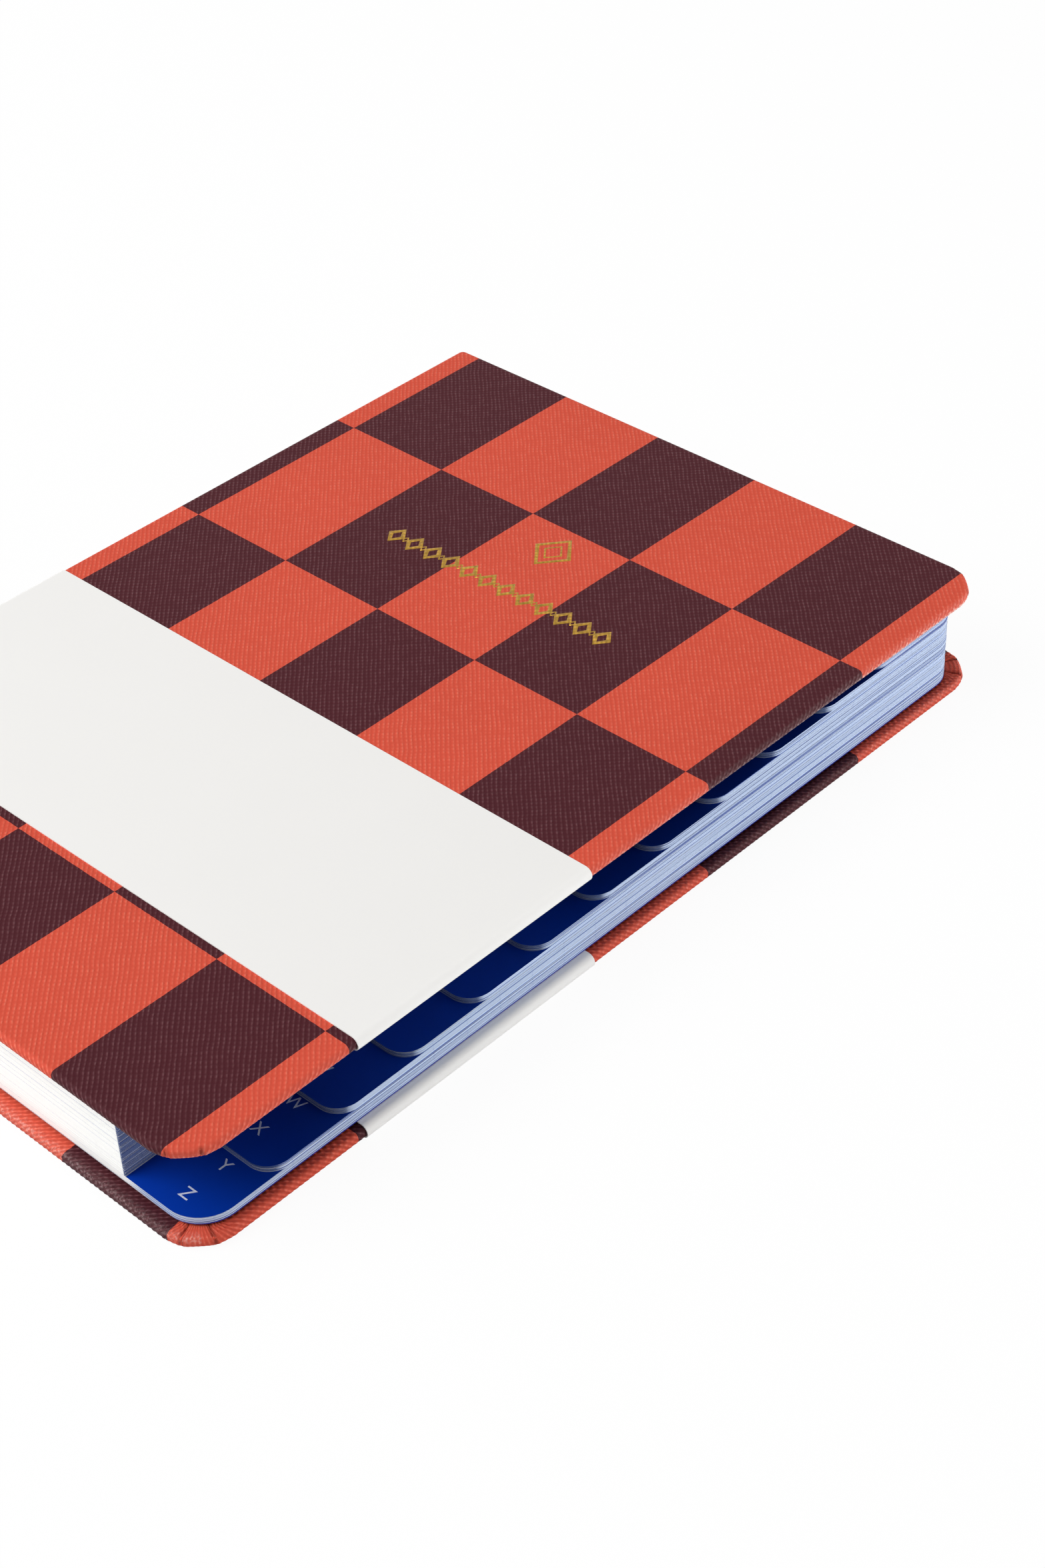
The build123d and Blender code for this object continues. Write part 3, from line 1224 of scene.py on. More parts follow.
def leaf_stack_tree():
    """Leaves of one outline, stacked and unevenly trimmed; the top one may have a finish of its own."""
    tree, given, out = new_group(
        "Leaf stack",
        GEOMETRY_TREE,
        [
            ("Outline", GEOMETRY, None),
            ("Leaves", INTEGER, 1),
            ("Thickness", FLOAT, 0.0002),
            ("Pitch", FLOAT, 0.0002),
            ("Base", FLOAT, 0.0),
            ("Stagger", FLOAT, 0.0),
            ("Seed", INTEGER, 0),
            ("Leaf Finish", MATERIAL, None),
            ("Top Finish", MATERIAL, None),
        ],
        [("Leaves", GEOMETRY)],
    )
    m = maths(tree)
    curve = put(tree, "GeometryNodeMeshToCurve", {"Mesh": given["Outline"]}).outputs["Curve"]
    leaf = solid_sheet(tree, curve, given["Thickness"])
    base, rise = vector_of(tree, Z=given["Base"]), vector_of(tree, Z=given["Pitch"])
    points, number = row_of_points(tree, given["Leaves"], base, rise)
    draw = {"ID": number, "Seed": given["Seed"]}
    trim = put(tree, "FunctionNodeRandomValue", draw, data_type="FLOAT_VECTOR")
    least_trim, most_trim = (-1.0, -0.12, 0.0), (0.0, 0.12, 0.0)
    feed(tree, trim.inputs[0], least_trim)
    feed(tree, trim.inputs[1], most_trim)
    scaled = {0: trim.outputs[0], "Scale": given["Stagger"]}
    shift = put(tree, "ShaderNodeVectorMath", scaled, operation="SCALE").outputs[0]
    marked = put(tree, "GeometryNodeSetPosition", {"Geometry": points, "Offset": shift}).outputs["Geometry"]
    draw = {"ID": number, "Seed": m("ADD", given["Seed"], 1.0)}
    tone = put(tree, "FunctionNodeRandomValue", draw, data_type="FLOAT").outputs[1]
    for name, value in ((LEAF_NUMBER, number), (LEAF_TONE, tone)):
        marked = with_mark(tree, marked, name, value, "POINT")
    copies = {"Points": marked, "Instance": leaf}
    stack = put(tree, "GeometryNodeInstanceOnPoints", copies).outputs["Instances"]
    order = put(tree, "GeometryNodeInputNamedAttribute", {"Name": LEAF_NUMBER}, data_type="FLOAT").outputs[0]
    top = m("GREATER_THAN", order, m("SUBTRACT", given["Leaves"], 1.5))
    plain = with_finish(tree, stack, given["Leaf Finish"])
    feed(tree, out["Leaves"], with_finish(tree, plain, given["Top Finish"], Selection=top))
    return tree


def letter_tree():
    """One printed capital, centred on the place given."""
    tree, given, out = new_group(
        "Tab letter",
        GEOMETRY_TREE,
        [
            ("Start", GEOMETRY, None),
            ("Letter", STRING, "A"),
            ("Size", FLOAT, 0.003),
            ("Place", VECTOR, None),
            ("Ink", FLOAT, 0.00001),
            ("Finish", MATERIAL, None),
        ],
        [("Letter", GEOMETRY)],
    )
    text = put(
        tree,
        "GeometryNodeStringToCurves",
        {"String": given["Letter"], "Size": given["Size"]},
        align_x="CENTER",
        align_y="MIDDLE",
    )
    curves = put(tree, "GeometryNodeRealizeInstances", {"Geometry": text.outputs["Curve Instances"]})
    fine = put(tree, "GeometryNodeResampleCurve", {"Curve": curves.outputs["Geometry"]}, mode="EVALUATED")
    sheet = solid_sheet(tree, fine.outputs["Curve"], given["Ink"])
    there = moved_by(tree, sheet, Translation=given["Place"])
    feed(tree, out["Letter"], with_finish(tree, there, given["Finish"]))
    return tree


def lozenge_row_tree():
    """A row of foil lozenges in raised line work, every second one smaller."""
    tree, given, out = new_group(
        "Lozenge row",
        GEOMETRY_TREE,
        [
            ("Start", GEOMETRY, None),
            ("Count", INTEGER, 11),
            ("Step", FLOAT, 0.005),
            ("Height", FLOAT, 0.004),
            ("Width", FLOAT, 0.003),
            ("Small", FLOAT, 0.4),
            ("Line", FLOAT, 0.0005),
            ("Rise", FLOAT, 0.0001),
            ("Place", VECTOR, None),
            ("Finish", MATERIAL, None),
        ],
        [("Row", GEOMETRY)],
    )
    m = maths(tree)

    def ring(corners, radius):
        made = put(tree, "GeometryNodeCurvePrimitiveCircle", {"Resolution": corners, "Radius": radius})
        return made.outputs["Curve"]

    half_width, half_height, wire = (m("MULTIPLY", given[size], 0.5) for size in ("Width", "Height", "Line"))
    shaped = moved_by(tree, ring(4, 1.0), Scale=vector_of(tree, X=half_width, Y=half_height, Z=1.0))
    swept = {"Curve": shaped, "Profile Curve": ring(8, wire)}
    rod = put(tree, "GeometryNodeCurveToMesh", swept).outputs["Mesh"]
    flatter = vector_of(tree, X=1.0, Y=1.0, Z=m("DIVIDE", given["Rise"], wire))
    lozenge = moved_by(tree, rod, Scale=flatter)
    length = m("MULTIPLY", m("SUBTRACT", given["Count"], 1.0), given["Step"])
    start = vector_of(tree, X=m("MULTIPLY", length, -0.5))
    points, number = row_of_points(tree, given["Count"], start, vector_of(tree, X=given["Step"]))
    size = m("MULTIPLY_ADD", m("FLOORED_MODULO", number, 2.0), m("SUBTRACT", given["Small"], 1.0), 1.0)
    copies = {"Points": points, "Instance": lozenge, "Scale": vector_of(tree, X=size, Y=size, Z=1.0)}
    row = put(tree, "GeometryNodeInstanceOnPoints", copies).outputs["Instances"]
    there = moved_by(tree, row, Translation=given["Place"])
    feed(tree, out["Row"], with_finish(tree, there, given["Finish"]))
    return tree


TREES = {"Leaf stack": leaf_stack_tree, "Tab letter": letter_tree, "Lozenge row": lozenge_row_tree}


def geometry_tree(name):
    """A geometry tree by name, made once."""
    return once(bpy.data.node_groups, name, TREES[name])


def stack_of_leaves(name, corners, inputs):
    """Flat leaves of one outline as a plain mesh."""
    outline = outline_mesh(name, rounded_outline(corners))
    return smoothed(grown(name, geometry_tree("Leaf stack"), outline, inputs))


def sheet_of_paper(name, corners, low, high, finish_name):
    """One flat sheet between two heights, from its outline."""
    sheet = {
        "Leaves": 1,
        "Thickness": high - low,
        "Pitch": high - low,
        "Base": low,
        "Leaf Finish": finish(finish_name),
        "Top Finish": finish(finish_name),
    }
    return stack_of_leaves(name, corners, sheet)


def square_corners(low, high):
    """Plan of a box as corners that aren't rounded."""
    spots = ((low.x, low.y), (high.x, low.y), (high.x, high.y), (low.x, high.y))
    return [(x, y, 0.0) for x, y in spots]


# Covers

# A ring of the covering round a cover's edge: how far in and down it lies, how far the print has run to it,
# how far it leans out and in, how worn it is, which also paints shade in the grooves, and how rubbed it is,
# with painted highlights
Ring = namedtuple("Ring", "inset height run lean_out lean_in wear rub", defaults=(0.0, 0.0, 0.0, 0.0))


def grain_ridge(u, v, pitch):
    """Height from 0 to 1 of the ridges at a place on the covering."""
    return 0.5 + 0.5 * math.cos(math.tau * (u + v) * DIAGONAL / pitch)


def corner_flat(share, covers):
    """At a share of a corner's turn: how far its flats cut inside the arc, and its pleat there.

    The pleat is the distance to the nearest crease, the overlap of the flat and the calm of the grain."""
    side = (1.0 - covers.middle_flat) / 2
    ends = (0.0, side, 1.0 - side, 1.0)
    flat = 0 if share < side else 1 if share < 1.0 - side else 2
    first, last = ends[flat], ends[flat + 1]
    along = (share - first) / (last - first)
    half = QUARTER * (last - first) / 2
    cut = math.cos(half) / math.cos((2 * along - 1) * half)
    off_crease = min(abs(share - side), abs(share - 1.0 + side))
    overlap = along if flat < 2 else 0.0
    most_calm = 0.65
    calm = 1.0 - most_calm * math.sin(math.pi * share)
    return 1.0 + covers.flatness * (cut - 1.0), (off_crease, overlap, calm)


def cover_rim(covers):
    """Points round a cover's edge: place, outward direction, how far the turn-in may reach, and pleat."""
    half_w, half_l = BACK_HIGH.x, BACK_HIGH.y
    step = covers.grain_pitch / DIAGONAL / 4
    fore, back = covers.corner_radius, covers.spine_corner
    tail_corners = ((-half_w, -half_l, back), (half_w, -half_l, fore))
    head_corners = ((half_w, half_l, fore), (-half_w, half_l, back))
    corners = tail_corners + head_corners
    lips = (covers.turn_in, covers.turn_in, covers.turn_in, covers.spine_lip)
    rim = []
    for place, (x, y, radius) in enumerate(corners):
        heading = QUARTER * (place - 1)
        centre = Vector((x - math.copysign(radius, x), y - math.copysign(radius, y)))
        at_fore = x > 0
        steps = max(8, round(QUARTER * radius / step * (1.5 if at_fore else 1.0)))
        for k in range(steps + 1):
            share = k / steps
            turn = heading - QUARTER + QUARTER * share
            outward = Vector((math.cos(turn), math.sin(turn)))
            reach = covers.turn_in if at_fore else radius - MILLIMETRE / 10
            flat, pleat = corner_flat(share, covers) if at_fore else (1.0, None)
            rim.append((centre + outward * radius * flat, outward, reach, pleat))
        next_x, next_y, next_radius = corners[(place + 1) % 4]
        along = Vector((-outward.y, outward.x))
        length = (Vector((next_x, next_y)) - Vector((x, y))).length - radius - next_radius
        count = max(1, round(length / step))
        start = centre + outward * radius
        for k in range(1, count):
            rim.append((start + along * length * k / count, outward, lips[place], None))
    return rim


def edge_profile(covers, thickness):
    """Rings from the outer face over the edge to the end of the turn-in, and back inside the covering."""
    radius = covers.edge_round
    flat_rim = 0.0004
    # Rubbing with painted highlights, a little on the outer face and more over the lower edge
    outer_rub, inner_rub = 0.1, 0.45
    wall = 0.95 * covers.skin
    turn_in_wear = ((0.002, 0.9), (0.0035, 0.6), (0.0055, 0.3), (covers.turn_in, 0.0))
    steps = 4
    turns = [QUARTER * k / steps for k in range(steps + 1)]
    rings = [Ring(radius + flat_rim, 0.0, -flat_rim)]
    for turn in turns:
        sine = math.sin(turn)
        height = radius * (1 - math.cos(turn))
        rings.append(Ring(radius * (1 - sine), height, radius * turn, sine, 0.0, sine, outer_rub * sine))
    run = radius * QUARTER + thickness - 2 * radius
    for turn in turns:
        sine, cosine = math.sin(turn), math.cos(turn)
        height = thickness - radius * (1 - sine)
        rub = inner_rub + (1.0 - inner_rub) * math.sin(2 * turn)
        rings.append(Ring(radius * (1 - cosine), height, run + radius * turn, cosine, sine, 1.0, rub))
    inside = run + radius * QUARTER
    for inset, wear in turn_in_wear:
        rings.append(Ring(inset, thickness, inside + inset - radius, 0.0, 1.0, wear))
    last = inside + covers.turn_in - radius
    for inset, height in ((covers.turn_in, thickness - wall), (wall, thickness - wall), (wall, wall)):
        rings.append(Ring(inset, height, last))
    return rings


def pleat_at(pleat, ring, covers):
    """A pleated corner at one ring: its depth, how dark its crease is painted as shade, and the calm of the
    grain.
    """
    if pleat is None:
        return 0.0, 0.0, 1.0
    crease_width, outside_share, overlap_share = 0.03, 0.8, 0.6
    off_crease, overlap, calm = pleat
    fade = max(0.0, 1.0 - ring.inset / covers.turn_in) * max(ring.lean_in, outside_share * ring.lean_out)
    crease = fade * math.exp(-((off_crease / crease_width) ** 2))
    return covers.pleat_depth * (crease + overlap_share * fade * overlap ** 3), crease, calm


def rubbing_and_highlight(point, inward):
    """How much an edge is rubbed and carries painted highlights: the front cover's towards the head, the
    back cover's at the tail.
    """
    front_rub, spine_share, tail_rub, back_share = 2.3, 0.35, 0.5, 0.1
    fore_strip, tail_strip = 0.004, 0.003
    rub_start, rub_full, least = -0.7, 0.9, 0.2
    towards_head = (point.y / BACK_HIGH.y - rub_start) / (rub_full - rub_start)
    towards_head = min(1.0, max(0.0, towards_head))
    at_fore = 1.0 if point.x > BACK_HIGH.x - fore_strip else spine_share
    rubbed = front_rub * at_fore * (least + (1.0 - least) * towards_head ** 2)
    if inward < 0:
        return rubbed
    return tail_rub if point.y < BACK_LOW.y + tail_strip else back_share * rubbed


def cover_skin(name, covers, outer, inner):
    """The covering of one cover, from its outer face to its turn-in, as a closed shell."""
    thickness = abs(inner - outer)
    inward = math.copysign(1.0, inner - outer)
    rim = cover_rim(covers)
    rings = edge_profile(covers, thickness)
    print_shift = covers.back_shift if inward > 0 else 0.0
    back_ribs, front_ribs = 1.0, 0.45
    ribbed = back_ribs if inward > 0 else front_ribs
    vertices, places = [], []
    marks = {WEAR_AND_GROOVE_SHADE: [], RUBBED_AND_HIGHLIT: [], CREASE_SHADE: []}
    for ring in rings:
        for point, outward, reach, pleat in rim:
            place = point + outward * (ring.run - covers.edge_round)
            drop, crease, calm = pleat_at(pleat, ring, covers)
            below_top = grain_ridge(place.x, place.y, covers.grain_pitch) - 1.0
            lift = covers.grain_relief * ribbed * calm * below_top - drop
            flat = point + outward * (lift * ring.lean_out - min(ring.inset, reach))
            level = ring.height + lift * ring.lean_in
            vertices.append((flat.x, flat.y, outer + inward * level))
            places.append((place.x + print_shift, place.y))
            marks[WEAR_AND_GROOVE_SHADE].append(ring.wear * ribbed * calm)
            marks[RUBBED_AND_HIGHLIT].append(ring.rub * rubbing_and_highlight(point, inward))
            marks[CREASE_SHADE].append(crease)
    count = len(rim)
    end = len(rings) * count
    faces = [tuple(reversed(range(count))), tuple(range(end - count, end))]
    faces += faces_between(len(rings), count, closed=True)
    if inward < 0:
        faces = [tuple(reversed(face)) for face in faces]
    return smoothed(leatherette_mesh(name, vertices, faces, places, marks))


def pastedown_corners(covers, low, high):
    """Outline of an endpaper stuck down inside a cover."""
    margin = BACK_HIGH.x - high.x
    radius = covers.corner_radius - margin
    return [(low.x, low.y, 0.0), (high.x, low.y, radius), (high.x, high.y, radius), (low.x, high.y, 0.0)]


def board_corners(covers, low, high):
    """Outline of a board, a little inside the grooves of its covering."""
    slack, radius = covers.board_slack, covers.corner_radius
    x0, y0, x1, y1 = low.x + slack, low.y + slack, high.x - slack, high.y - slack
    return [(x0, y0, 0.0), (x1, y0, radius), (x1, y1, radius), (x0, y1, 0.0)]


class ADDRESSBOOK_OT_covers(bpy.types.Operator):
    """Cover both boards in leatherette and stick down their endpapers"""

    bl_idname = "address_book.covers"
    bl_label = "Covers"

    def execute(self, context):
        covers = context.scene.book_covers
        slack = covers.board_slack / 2
        for side, outer, inner in (("back", BACK_LOW.z, BACK_HIGH.z), ("front", FRONT_HIGH.z, FRONT_LOW.z)):
            body = side + "_cover"
            name = side + "_covering"
            skin = cover_skin(name, covers, outer, inner)
            add_piece(name, skin, body, [side + "_cover_leatherette"])
            low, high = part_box(side + "_pastedown")
            name = side + "_endpaper"
            faces = sorted((inner, low.z if side == "front" else high.z))
            paper = sheet_of_paper(name, pastedown_corners(covers, low, high), *faces, "Endpaper")
            add_piece(name, paper, body, [side + "_pastedown"])
            low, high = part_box(side + "_board")
            name = side + "_greyboard"
            corners = board_corners(covers, low, high)
            board = sheet_of_paper(name, corners, low.z + slack, high.z - slack, "Greyboard")
            add_piece(name, board, body, [side + "_board"])
        return {"FINISHED"}


# Spine


def give_way(piece):
    """Give a piece along the spine a mesh of its own."""
    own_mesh(piece)


def spine_path(turn_in):
    """Plan of the spine's covering, from inside its tail along the outside to inside its head."""
    half, radius = SPINE_HIGH.y, SPINE_RADIUS
    steps = 6
    path = [(SPINE_HIGH.x, -half + turn_in)]
    for k in range(steps + 1):
        turn = math.pi * k / steps
        path.append((SPINE_MIDDLE + radius * math.cos(turn), -half + radius - radius * math.sin(turn)))
    for k in range(steps + 1):
        turn = math.pi * k / steps
        path.append((SPINE_MIDDLE - radius * math.cos(turn), half - radius + radius * math.sin(turn)))
    path.append((SPINE_HIGH.x, half - turn_in))
    return path


def spine_skin(name, covers):
    """Covering of the spine: over the outside, round both ends and a little way inside."""
    path = spine_path(covers.spine_turn_in)
    height = SPINE_HIGH.z - SPINE_LOW.z
    # Wear near the hinges, which also paints shade in the grain's grooves there
    hinge_share, hinge_wear = 0.1, 0.5
    at_hinge = [0.0, 0.02, 0.05, 0.1]
    levels = at_hinge + [0.5] + [1.0 - level for level in reversed(at_hinge)]
    vertices, places, wears = [], [], []
    for level in levels:
        near_hinge = max(0.0, 1.0 - min(level, 1.0 - level) / hinge_share)
        dip = covers.crease * near_hinge ** 2
        z = SPINE_LOW.z + height * level
        for x, y in path:
            vertices.append((x + dip * (x < SPINE_MIDDLE), y, z))
            places.append((FRONT_LOW.x - (FRONT_HIGH.z - z), y))
            wears.append(hinge_wear * near_hinge)
    faces = faces_between(len(levels), len(path))
    mesh = leatherette_mesh(name, vertices, faces, places, {WEAR_AND_GROOVE_SHADE: wears})
    mesh.flip_normals()
    return thickened(name, smoothed(mesh), covers.skin, -1.0)


class ADDRESSBOOK_OT_spine(bpy.types.Operator):
    """Cover the spine, and line the back of every index section with cloth"""

    bl_idname = "address_book.spine"
    bl_label = "Spine"

    def execute(self, context):
        name = "spine_covering"
        skin = spine_skin(name, context.scene.book_covers)
        give_way(add_piece(name, skin, "spine", ["spine_leatherette"]))
        name = "spine_card"
        low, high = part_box("spine_liner")
        card = sheet_of_paper(name, square_corners(low, high), low.z, high.z, "Liner card")
        give_way(add_piece(name, card, "spine", ["spine_liner"]))
        corners = square_corners(LINING_LOW, LINING_HIGH)
        for letters in SECTIONS:
            name = "lining_" + letters
            low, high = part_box("index_" + letters)
            strip = sheet_of_paper(name, corners, low.z, high.z, "Lining cloth")
            stands_for = ["spine_lining"] if letters == SECTIONS[0] else []
            add_piece(name, strip, "leaves_" + letters, stands_for)
        return {"FINISHED"}


# Leaves


def leaf_corners(low, high, tab_end, leaves):
    """Outline of a leaf that is cut back to the tabs' depth below its own tab."""
    outer = leaves.block_round if high.x > CUT_X + MILLIMETRE else 0.0
    top = [(high.x, high.y, outer), (low.x, high.y, 0.0)]
    if tab_end <= low.y + MILLIMETRE:
        return [(low.x, low.y, 0.0), (high.x, low.y, outer)] + top
    step = [(CUT_X, low.y, 0.0), (CUT_X, tab_end, 0.0), (high.x, tab_end, leaves.tab_round)]
    return [(low.x, low.y, 0.0)] + step + top


def index_section(name, place, low, high, leaves):
    """The leaves of one index section, with its card on top."""
    inputs = {
        "Leaves": leaves.leaves,
        "Thickness": leaves.leaf,
        "Pitch": (high.z - low.z - leaves.leaf) / (leaves.leaves - 1),
        "Base": low.z,
        "Stagger": leaves.stagger,
        "Seed": leaves.seed + place,
        "Leaf Finish": finish("Page paper"),
        "Top Finish": finish("Tab card"),
    }
    return stack_of_leaves(name, leaf_corners(low, high, TAB_ENDS[place], leaves), inputs)


def add_endpaper_fold():
    """Join the front cover's endpaper to the flyleaf by a straight strip across the hinge."""
    name = "front_endpaper_fold"
    low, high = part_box("front_pastedown")
    start = Vector((low.x + 2 * FOLD_OVERLAP, low.z + FOLD_OVERLAP))
    end = Vector((BLOCK_LOW.x + FOLD_OVERLAP, FLYLEAF_HIGH.z - FOLD_OVERLAP))
    rows = 17
    vertices = []
    for row in range(rows):
        x, z = start.lerp(end, row / (rows - 1))
        vertices.extend(((x, low.y, z), (x, high.y, z)))
    strip = new_mesh(name, vertices, faces_between(rows, 2), "Endpaper")
    fold = linked(name, smoothed(thickened(name, strip, FOLD_PAPER, 0.0)))
    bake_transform(fold)


class ADDRESSBOOK_OT_leaves(bpy.types.Operator):
    """Stack the leaves of each index section, with a blue card on top, and add the loose endpapers"""

    bl_idname = "address_book.leaves"
    bl_label = "Index leaves"

    def execute(self, context):
        leaves = context.scene.book_leaves
        for place, letters in enumerate(SECTIONS):
            node, name = "index_" + letters, "leaves_" + letters
            low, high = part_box(node)
            add_piece(name, index_section(name, place, low, high, leaves), name, [node])
        for node, letters in (("back_flyleaf", SECTIONS[0]), ("front_flyleaf", SECTIONS[-1])):
            name = node + "_paper"
            low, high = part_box(node)
            paper = sheet_of_paper(name, leaf_corners(low, high, low.y, leaves), low.z, high.z, "Endpaper")
            add_piece(name, paper, "leaves_" + letters, [node])
        add_endpaper_fold()
        return {"FINISHED"}


class ADDRESSBOOK_OT_letters(bpy.types.Operator):
    """Print the two index letters on each tab"""

    bl_idname = "address_book.letters"
    bl_label = "Tab letters"

    def execute(self, context):
        leaves = context.scene.book_leaves
        cap_share = 0.729
        for place, letters in enumerate(SECTIONS):
            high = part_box("index_" + letters)[1]
            tab_start = TAB_ENDS[1] + (place - 1) * TAB_PITCH
            first = tab_start + leaves.letter_start + leaves.letter_creep * min(place, 1)
            across = high.x - leaves.letter_inset - leaves.letter_creep * min(place, 2)
            for order, letter in enumerate(letters.upper()):
                name = "letter_" + letter.lower()
                inputs = {
                    "Letter": letter,
                    "Size": leaves.letter_height / cap_share,
                    "Place": (across, first - order * leaves.letter_step, high.z + leaves.ink),
                    "Ink": leaves.ink,
                    "Finish": finish("Letter ink"),
                }
                capital = grown(name, geometry_tree("Tab letter"), bpy.data.meshes.new(name), inputs)
                add_piece(name, capital, "leaves_" + letters)
        return {"FINISHED"}


# Paper band


def folded_path(points, radii, steps=8):
    """A path through these points with each corner folded to its radius."""
    spots = [Vector(point) for point in points]
    path = spots[:1]
    for before, corner, after, radius in zip(spots, spots[1:], spots[2:], radii):
        path.extend(corner_arc(before, corner, after, radius, steps))
    return path + spots[-1:]


def divided(path, longest):
    """The same path with long runs cut into shorter ones."""
    cut = [path[0]]
    for before, after in zip(path, path[1:]):
        count = max(1, math.ceil((after - before).length / longest))
        cut.extend(before.lerp(after, k / count) for k in range(1, count + 1))
    return cut


def band_strip(name, path, ripple, band):
    """A strip of the band swept along the book from its path across the book."""
    rows, longest, waves = 29, 0.004, 30.0
    path = divided(path, longest)
    vertices = []
    for row in range(rows):
        y = BAND_LOW.y + (BAND_HIGH.y - BAND_LOW.y) * row / (rows - 1)
        for x, z in path:
            lift = ripple * noise.noise(Vector((x * waves, y * waves, z * waves)))
            vertices.append((x, y, z + lift))
    mesh = new_mesh(name, vertices, faces_between(rows, len(path)), "Band paper")
    return smoothed(thickened(name, smoothed(mesh), band.paper, 0.0))


class ADDRESSBOOK_OT_band(bpy.types.Operator):
    """Fold the paper band round the covers and along the spine"""

    bl_idname = "address_book.band"
    bl_label = "Paper band"

    def execute(self, context):
        band = context.scene.book_band
        half = band.paper / 2
        spine_x, fore_x = BAND_LOW.x + half, BAND_HIGH.x - half
        out_x = fore_x + band.roll
        hinges = {"front": FRONT_LOW.z, "back": BACK_HIGH.z}
        for side, body in (("front", "band_over"), ("back", "band_under")):
            name = "band_over_" + side
            low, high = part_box("band_" + side)
            outer, flap = (high.z - half, low.z + half) if side == "front" else (low.z + half, high.z - half)
            turn = abs(outer - flap) / 2
            at_spine = [(spine_x, hinges[side]), (spine_x, outer)]
            at_fore_edge = [(out_x, outer), (out_x, flap), (fore_x - band.flap, flap)]
            path = folded_path(at_spine + at_fore_edge, (band.fold, turn, turn))
            strip = band_strip(name, path, band.ripple, band)
            add_piece(name, strip, body, ["band_" + side])
        name = "band_along_spine"
        path = [Vector((spine_x, hinges["back"])), Vector((spine_x, hinges["front"]))]
        strip = band_strip(name, path, 0.0, band)
        give_way(add_piece(name, strip, "band_at_spine", ["band_spine"]))
        return {"FINISHED"}


class ADDRESSBOOK_OT_foil(bpy.types.Operator):
    """Stamp a plain row of foil lozenges on the front cover"""

    bl_idname = "address_book.foil"
    bl_label = "Foil ornament"

    def execute(self, context):
        stamps = {
            "foil_row": {**FOIL_ROW, "Place": (*FOIL_ROW_PLACE, FRONT_HIGH.z)},
            "foil_emblem": {**FOIL_EMBLEM, "Place": (*FOIL_EMBLEM_PLACE, FRONT_HIGH.z)},
        }
        for name, sizes in stamps.items():
            inputs = {**sizes, "Rise": FOIL_RISE, "Finish": finish("Gold foil")}
            stamp = smoothed(grown(name, geometry_tree("Lozenge row"), bpy.data.meshes.new(name), inputs))
            add_piece(name, stamp, "front_cover")
        return {"FINISHED"}


# Stage


def aimed(target, place):
    """The turn that points a lamp or camera from its place to a target."""
    return (Vector(target) - Vector(place)).to_track_quat("-Z", "Y")


def add_lamp(name, place, target, size, power):
    """A large soft lamp turned towards a point, its width and height given."""
    data = bpy.data.lights.new(name, "AREA")
    data.shape = "RECTANGLE"
    data.size, data.size_y = size
    data.energy = power
    lamp = linked(name, data)
    lamp.location = place
    lamp.rotation_mode = "QUATERNION"
    lamp.rotation_quaternion = aimed(target, place)
    lamp.visible_camera = False


def add_floor():
    """A floor that reaches well past the picture."""
    signs = ((-1, -1), (1, -1), (1, 1), (-1, 1))
    corners = [(x * FLOOR_REACH, y * FLOOR_REACH, 0.0) for x, y in signs]
    ground = linked("floor", new_mesh("floor", corners, [(0, 1, 2, 3)], "Pale floor"))


def add_world(scene, sky):
    """Even light all round, seen as white."""
    world = bpy.data.worlds.new("Studio")
    world.use_nodes = True
    scene.world = world
    tree = world.node_tree
    background = tree.nodes["Background"]
    background.inputs["Color"].default_value = WHITE
    feed(tree, background.inputs["Strength"], between(tree, seen(tree), sky, 1.0))


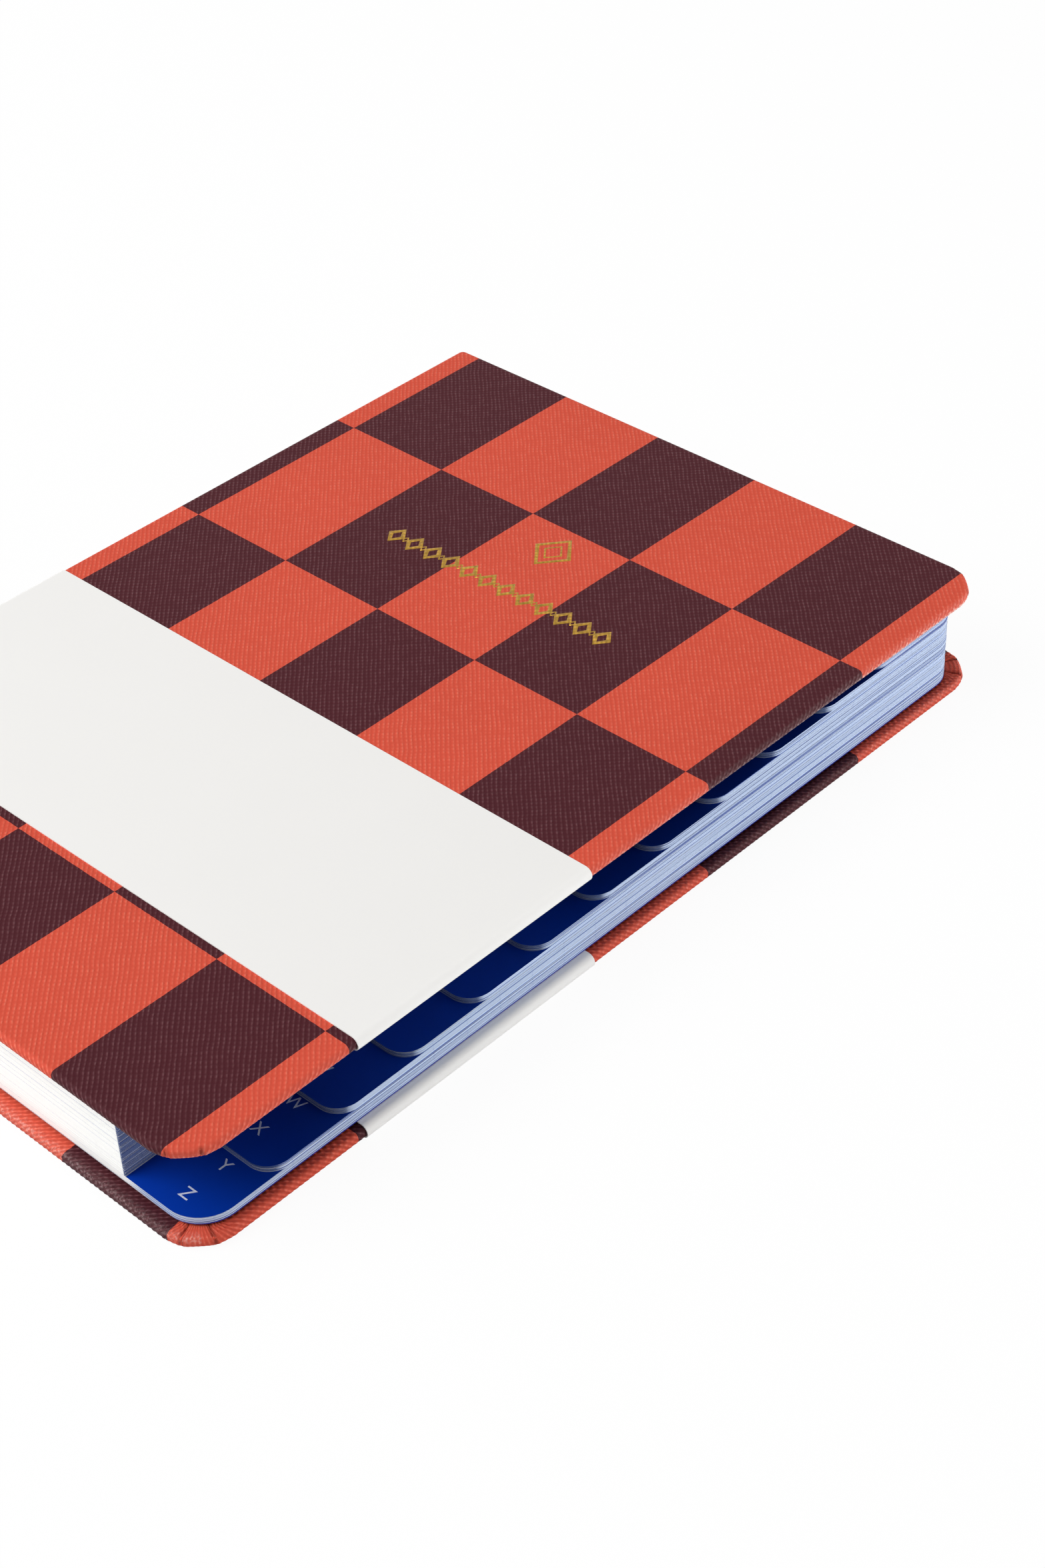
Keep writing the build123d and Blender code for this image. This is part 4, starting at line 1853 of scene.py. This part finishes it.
def add_camera(scene, stage):
    """The camera where the book is looked at from."""
    data = bpy.data.cameras.new("camera")
    data.lens = stage.lens
    data.sensor_width = SENSOR_WIDTH
    data.clip_start = NEAREST_SEEN
    camera = linked("camera", data)
    camera.location = stage.place
    camera.rotation_mode = "QUATERNION"
    camera.rotation_quaternion = aimed(stage.aim, stage.place) @ Quaternion((0.0, 0.0, 1.0), stage.roll)
    scene.camera = camera


class ADDRESSBOOK_OT_stage(bpy.types.Operator):
    """Set up the floor, the light and the camera"""

    bl_idname = "address_book.stage"
    bl_label = "Stage"

    def execute(self, context):
        scene = context.scene
        stage = scene.book_stage
        scene.view_settings.view_transform = "Standard"
        add_floor()
        add_world(scene, stage.sky)
        add_lamp("key", *KEY_LAMP, stage.key)
        add_lamp("fill", *FILL_LAMP, stage.fill)
        add_camera(scene, stage)
        return {"FINISHED"}


OPERATORS = (
    ADDRESSBOOK_OT_covers,
    ADDRESSBOOK_OT_spine,
    ADDRESSBOOK_OT_leaves,
    ADDRESSBOOK_OT_letters,
    ADDRESSBOOK_OT_band,
    ADDRESSBOOK_OT_foil,
    ADDRESSBOOK_OT_stage,
)
SETTINGS = {
    "book_covers": CoverSettings,
    "book_leaves": LeafSettings,
    "book_band": BandSettings,
    "book_stage": StageSettings,
}


class ADDRESSBOOK_PT_panel(bpy.types.Panel):
    """Pieces of the address book and their settings"""

    bl_label = "Address Book"
    bl_idname = "ADDRESSBOOK_PT_panel"
    bl_space_type = "VIEW_3D"
    bl_region_type = "UI"
    bl_category = "Address Book"

    def draw(self, context):
        for operator in OPERATORS:
            self.layout.operator(operator.bl_idname)
        for name, group in SETTINGS.items():
            box = self.layout.box()
            for label in group.__annotations__:
                box.prop(getattr(context.scene, name), label)


def register():
    """Make the settings, the operators and the panel known to Blender."""
    for made in (*SETTINGS.values(), *OPERATORS, ADDRESSBOOK_PT_panel):
        bpy.utils.register_class(made)
    for name, group in SETTINGS.items():
        setattr(bpy.types.Scene, name, PointerProperty(type=group))


def unregister():
    """Take the settings, the operators and the panel out of Blender again."""
    for name in SETTINGS:
        delattr(bpy.types.Scene, name)
    for made in reversed((*SETTINGS.values(), *OPERATORS, ADDRESSBOOK_PT_panel)):
        bpy.utils.unregister_class(made)


def main():
    register()
    for operator in OPERATORS:
        group, name = operator.bl_idname.split(".")
        getattr(getattr(bpy.ops, group), name)()


if __name__ == "__main__":
    main()
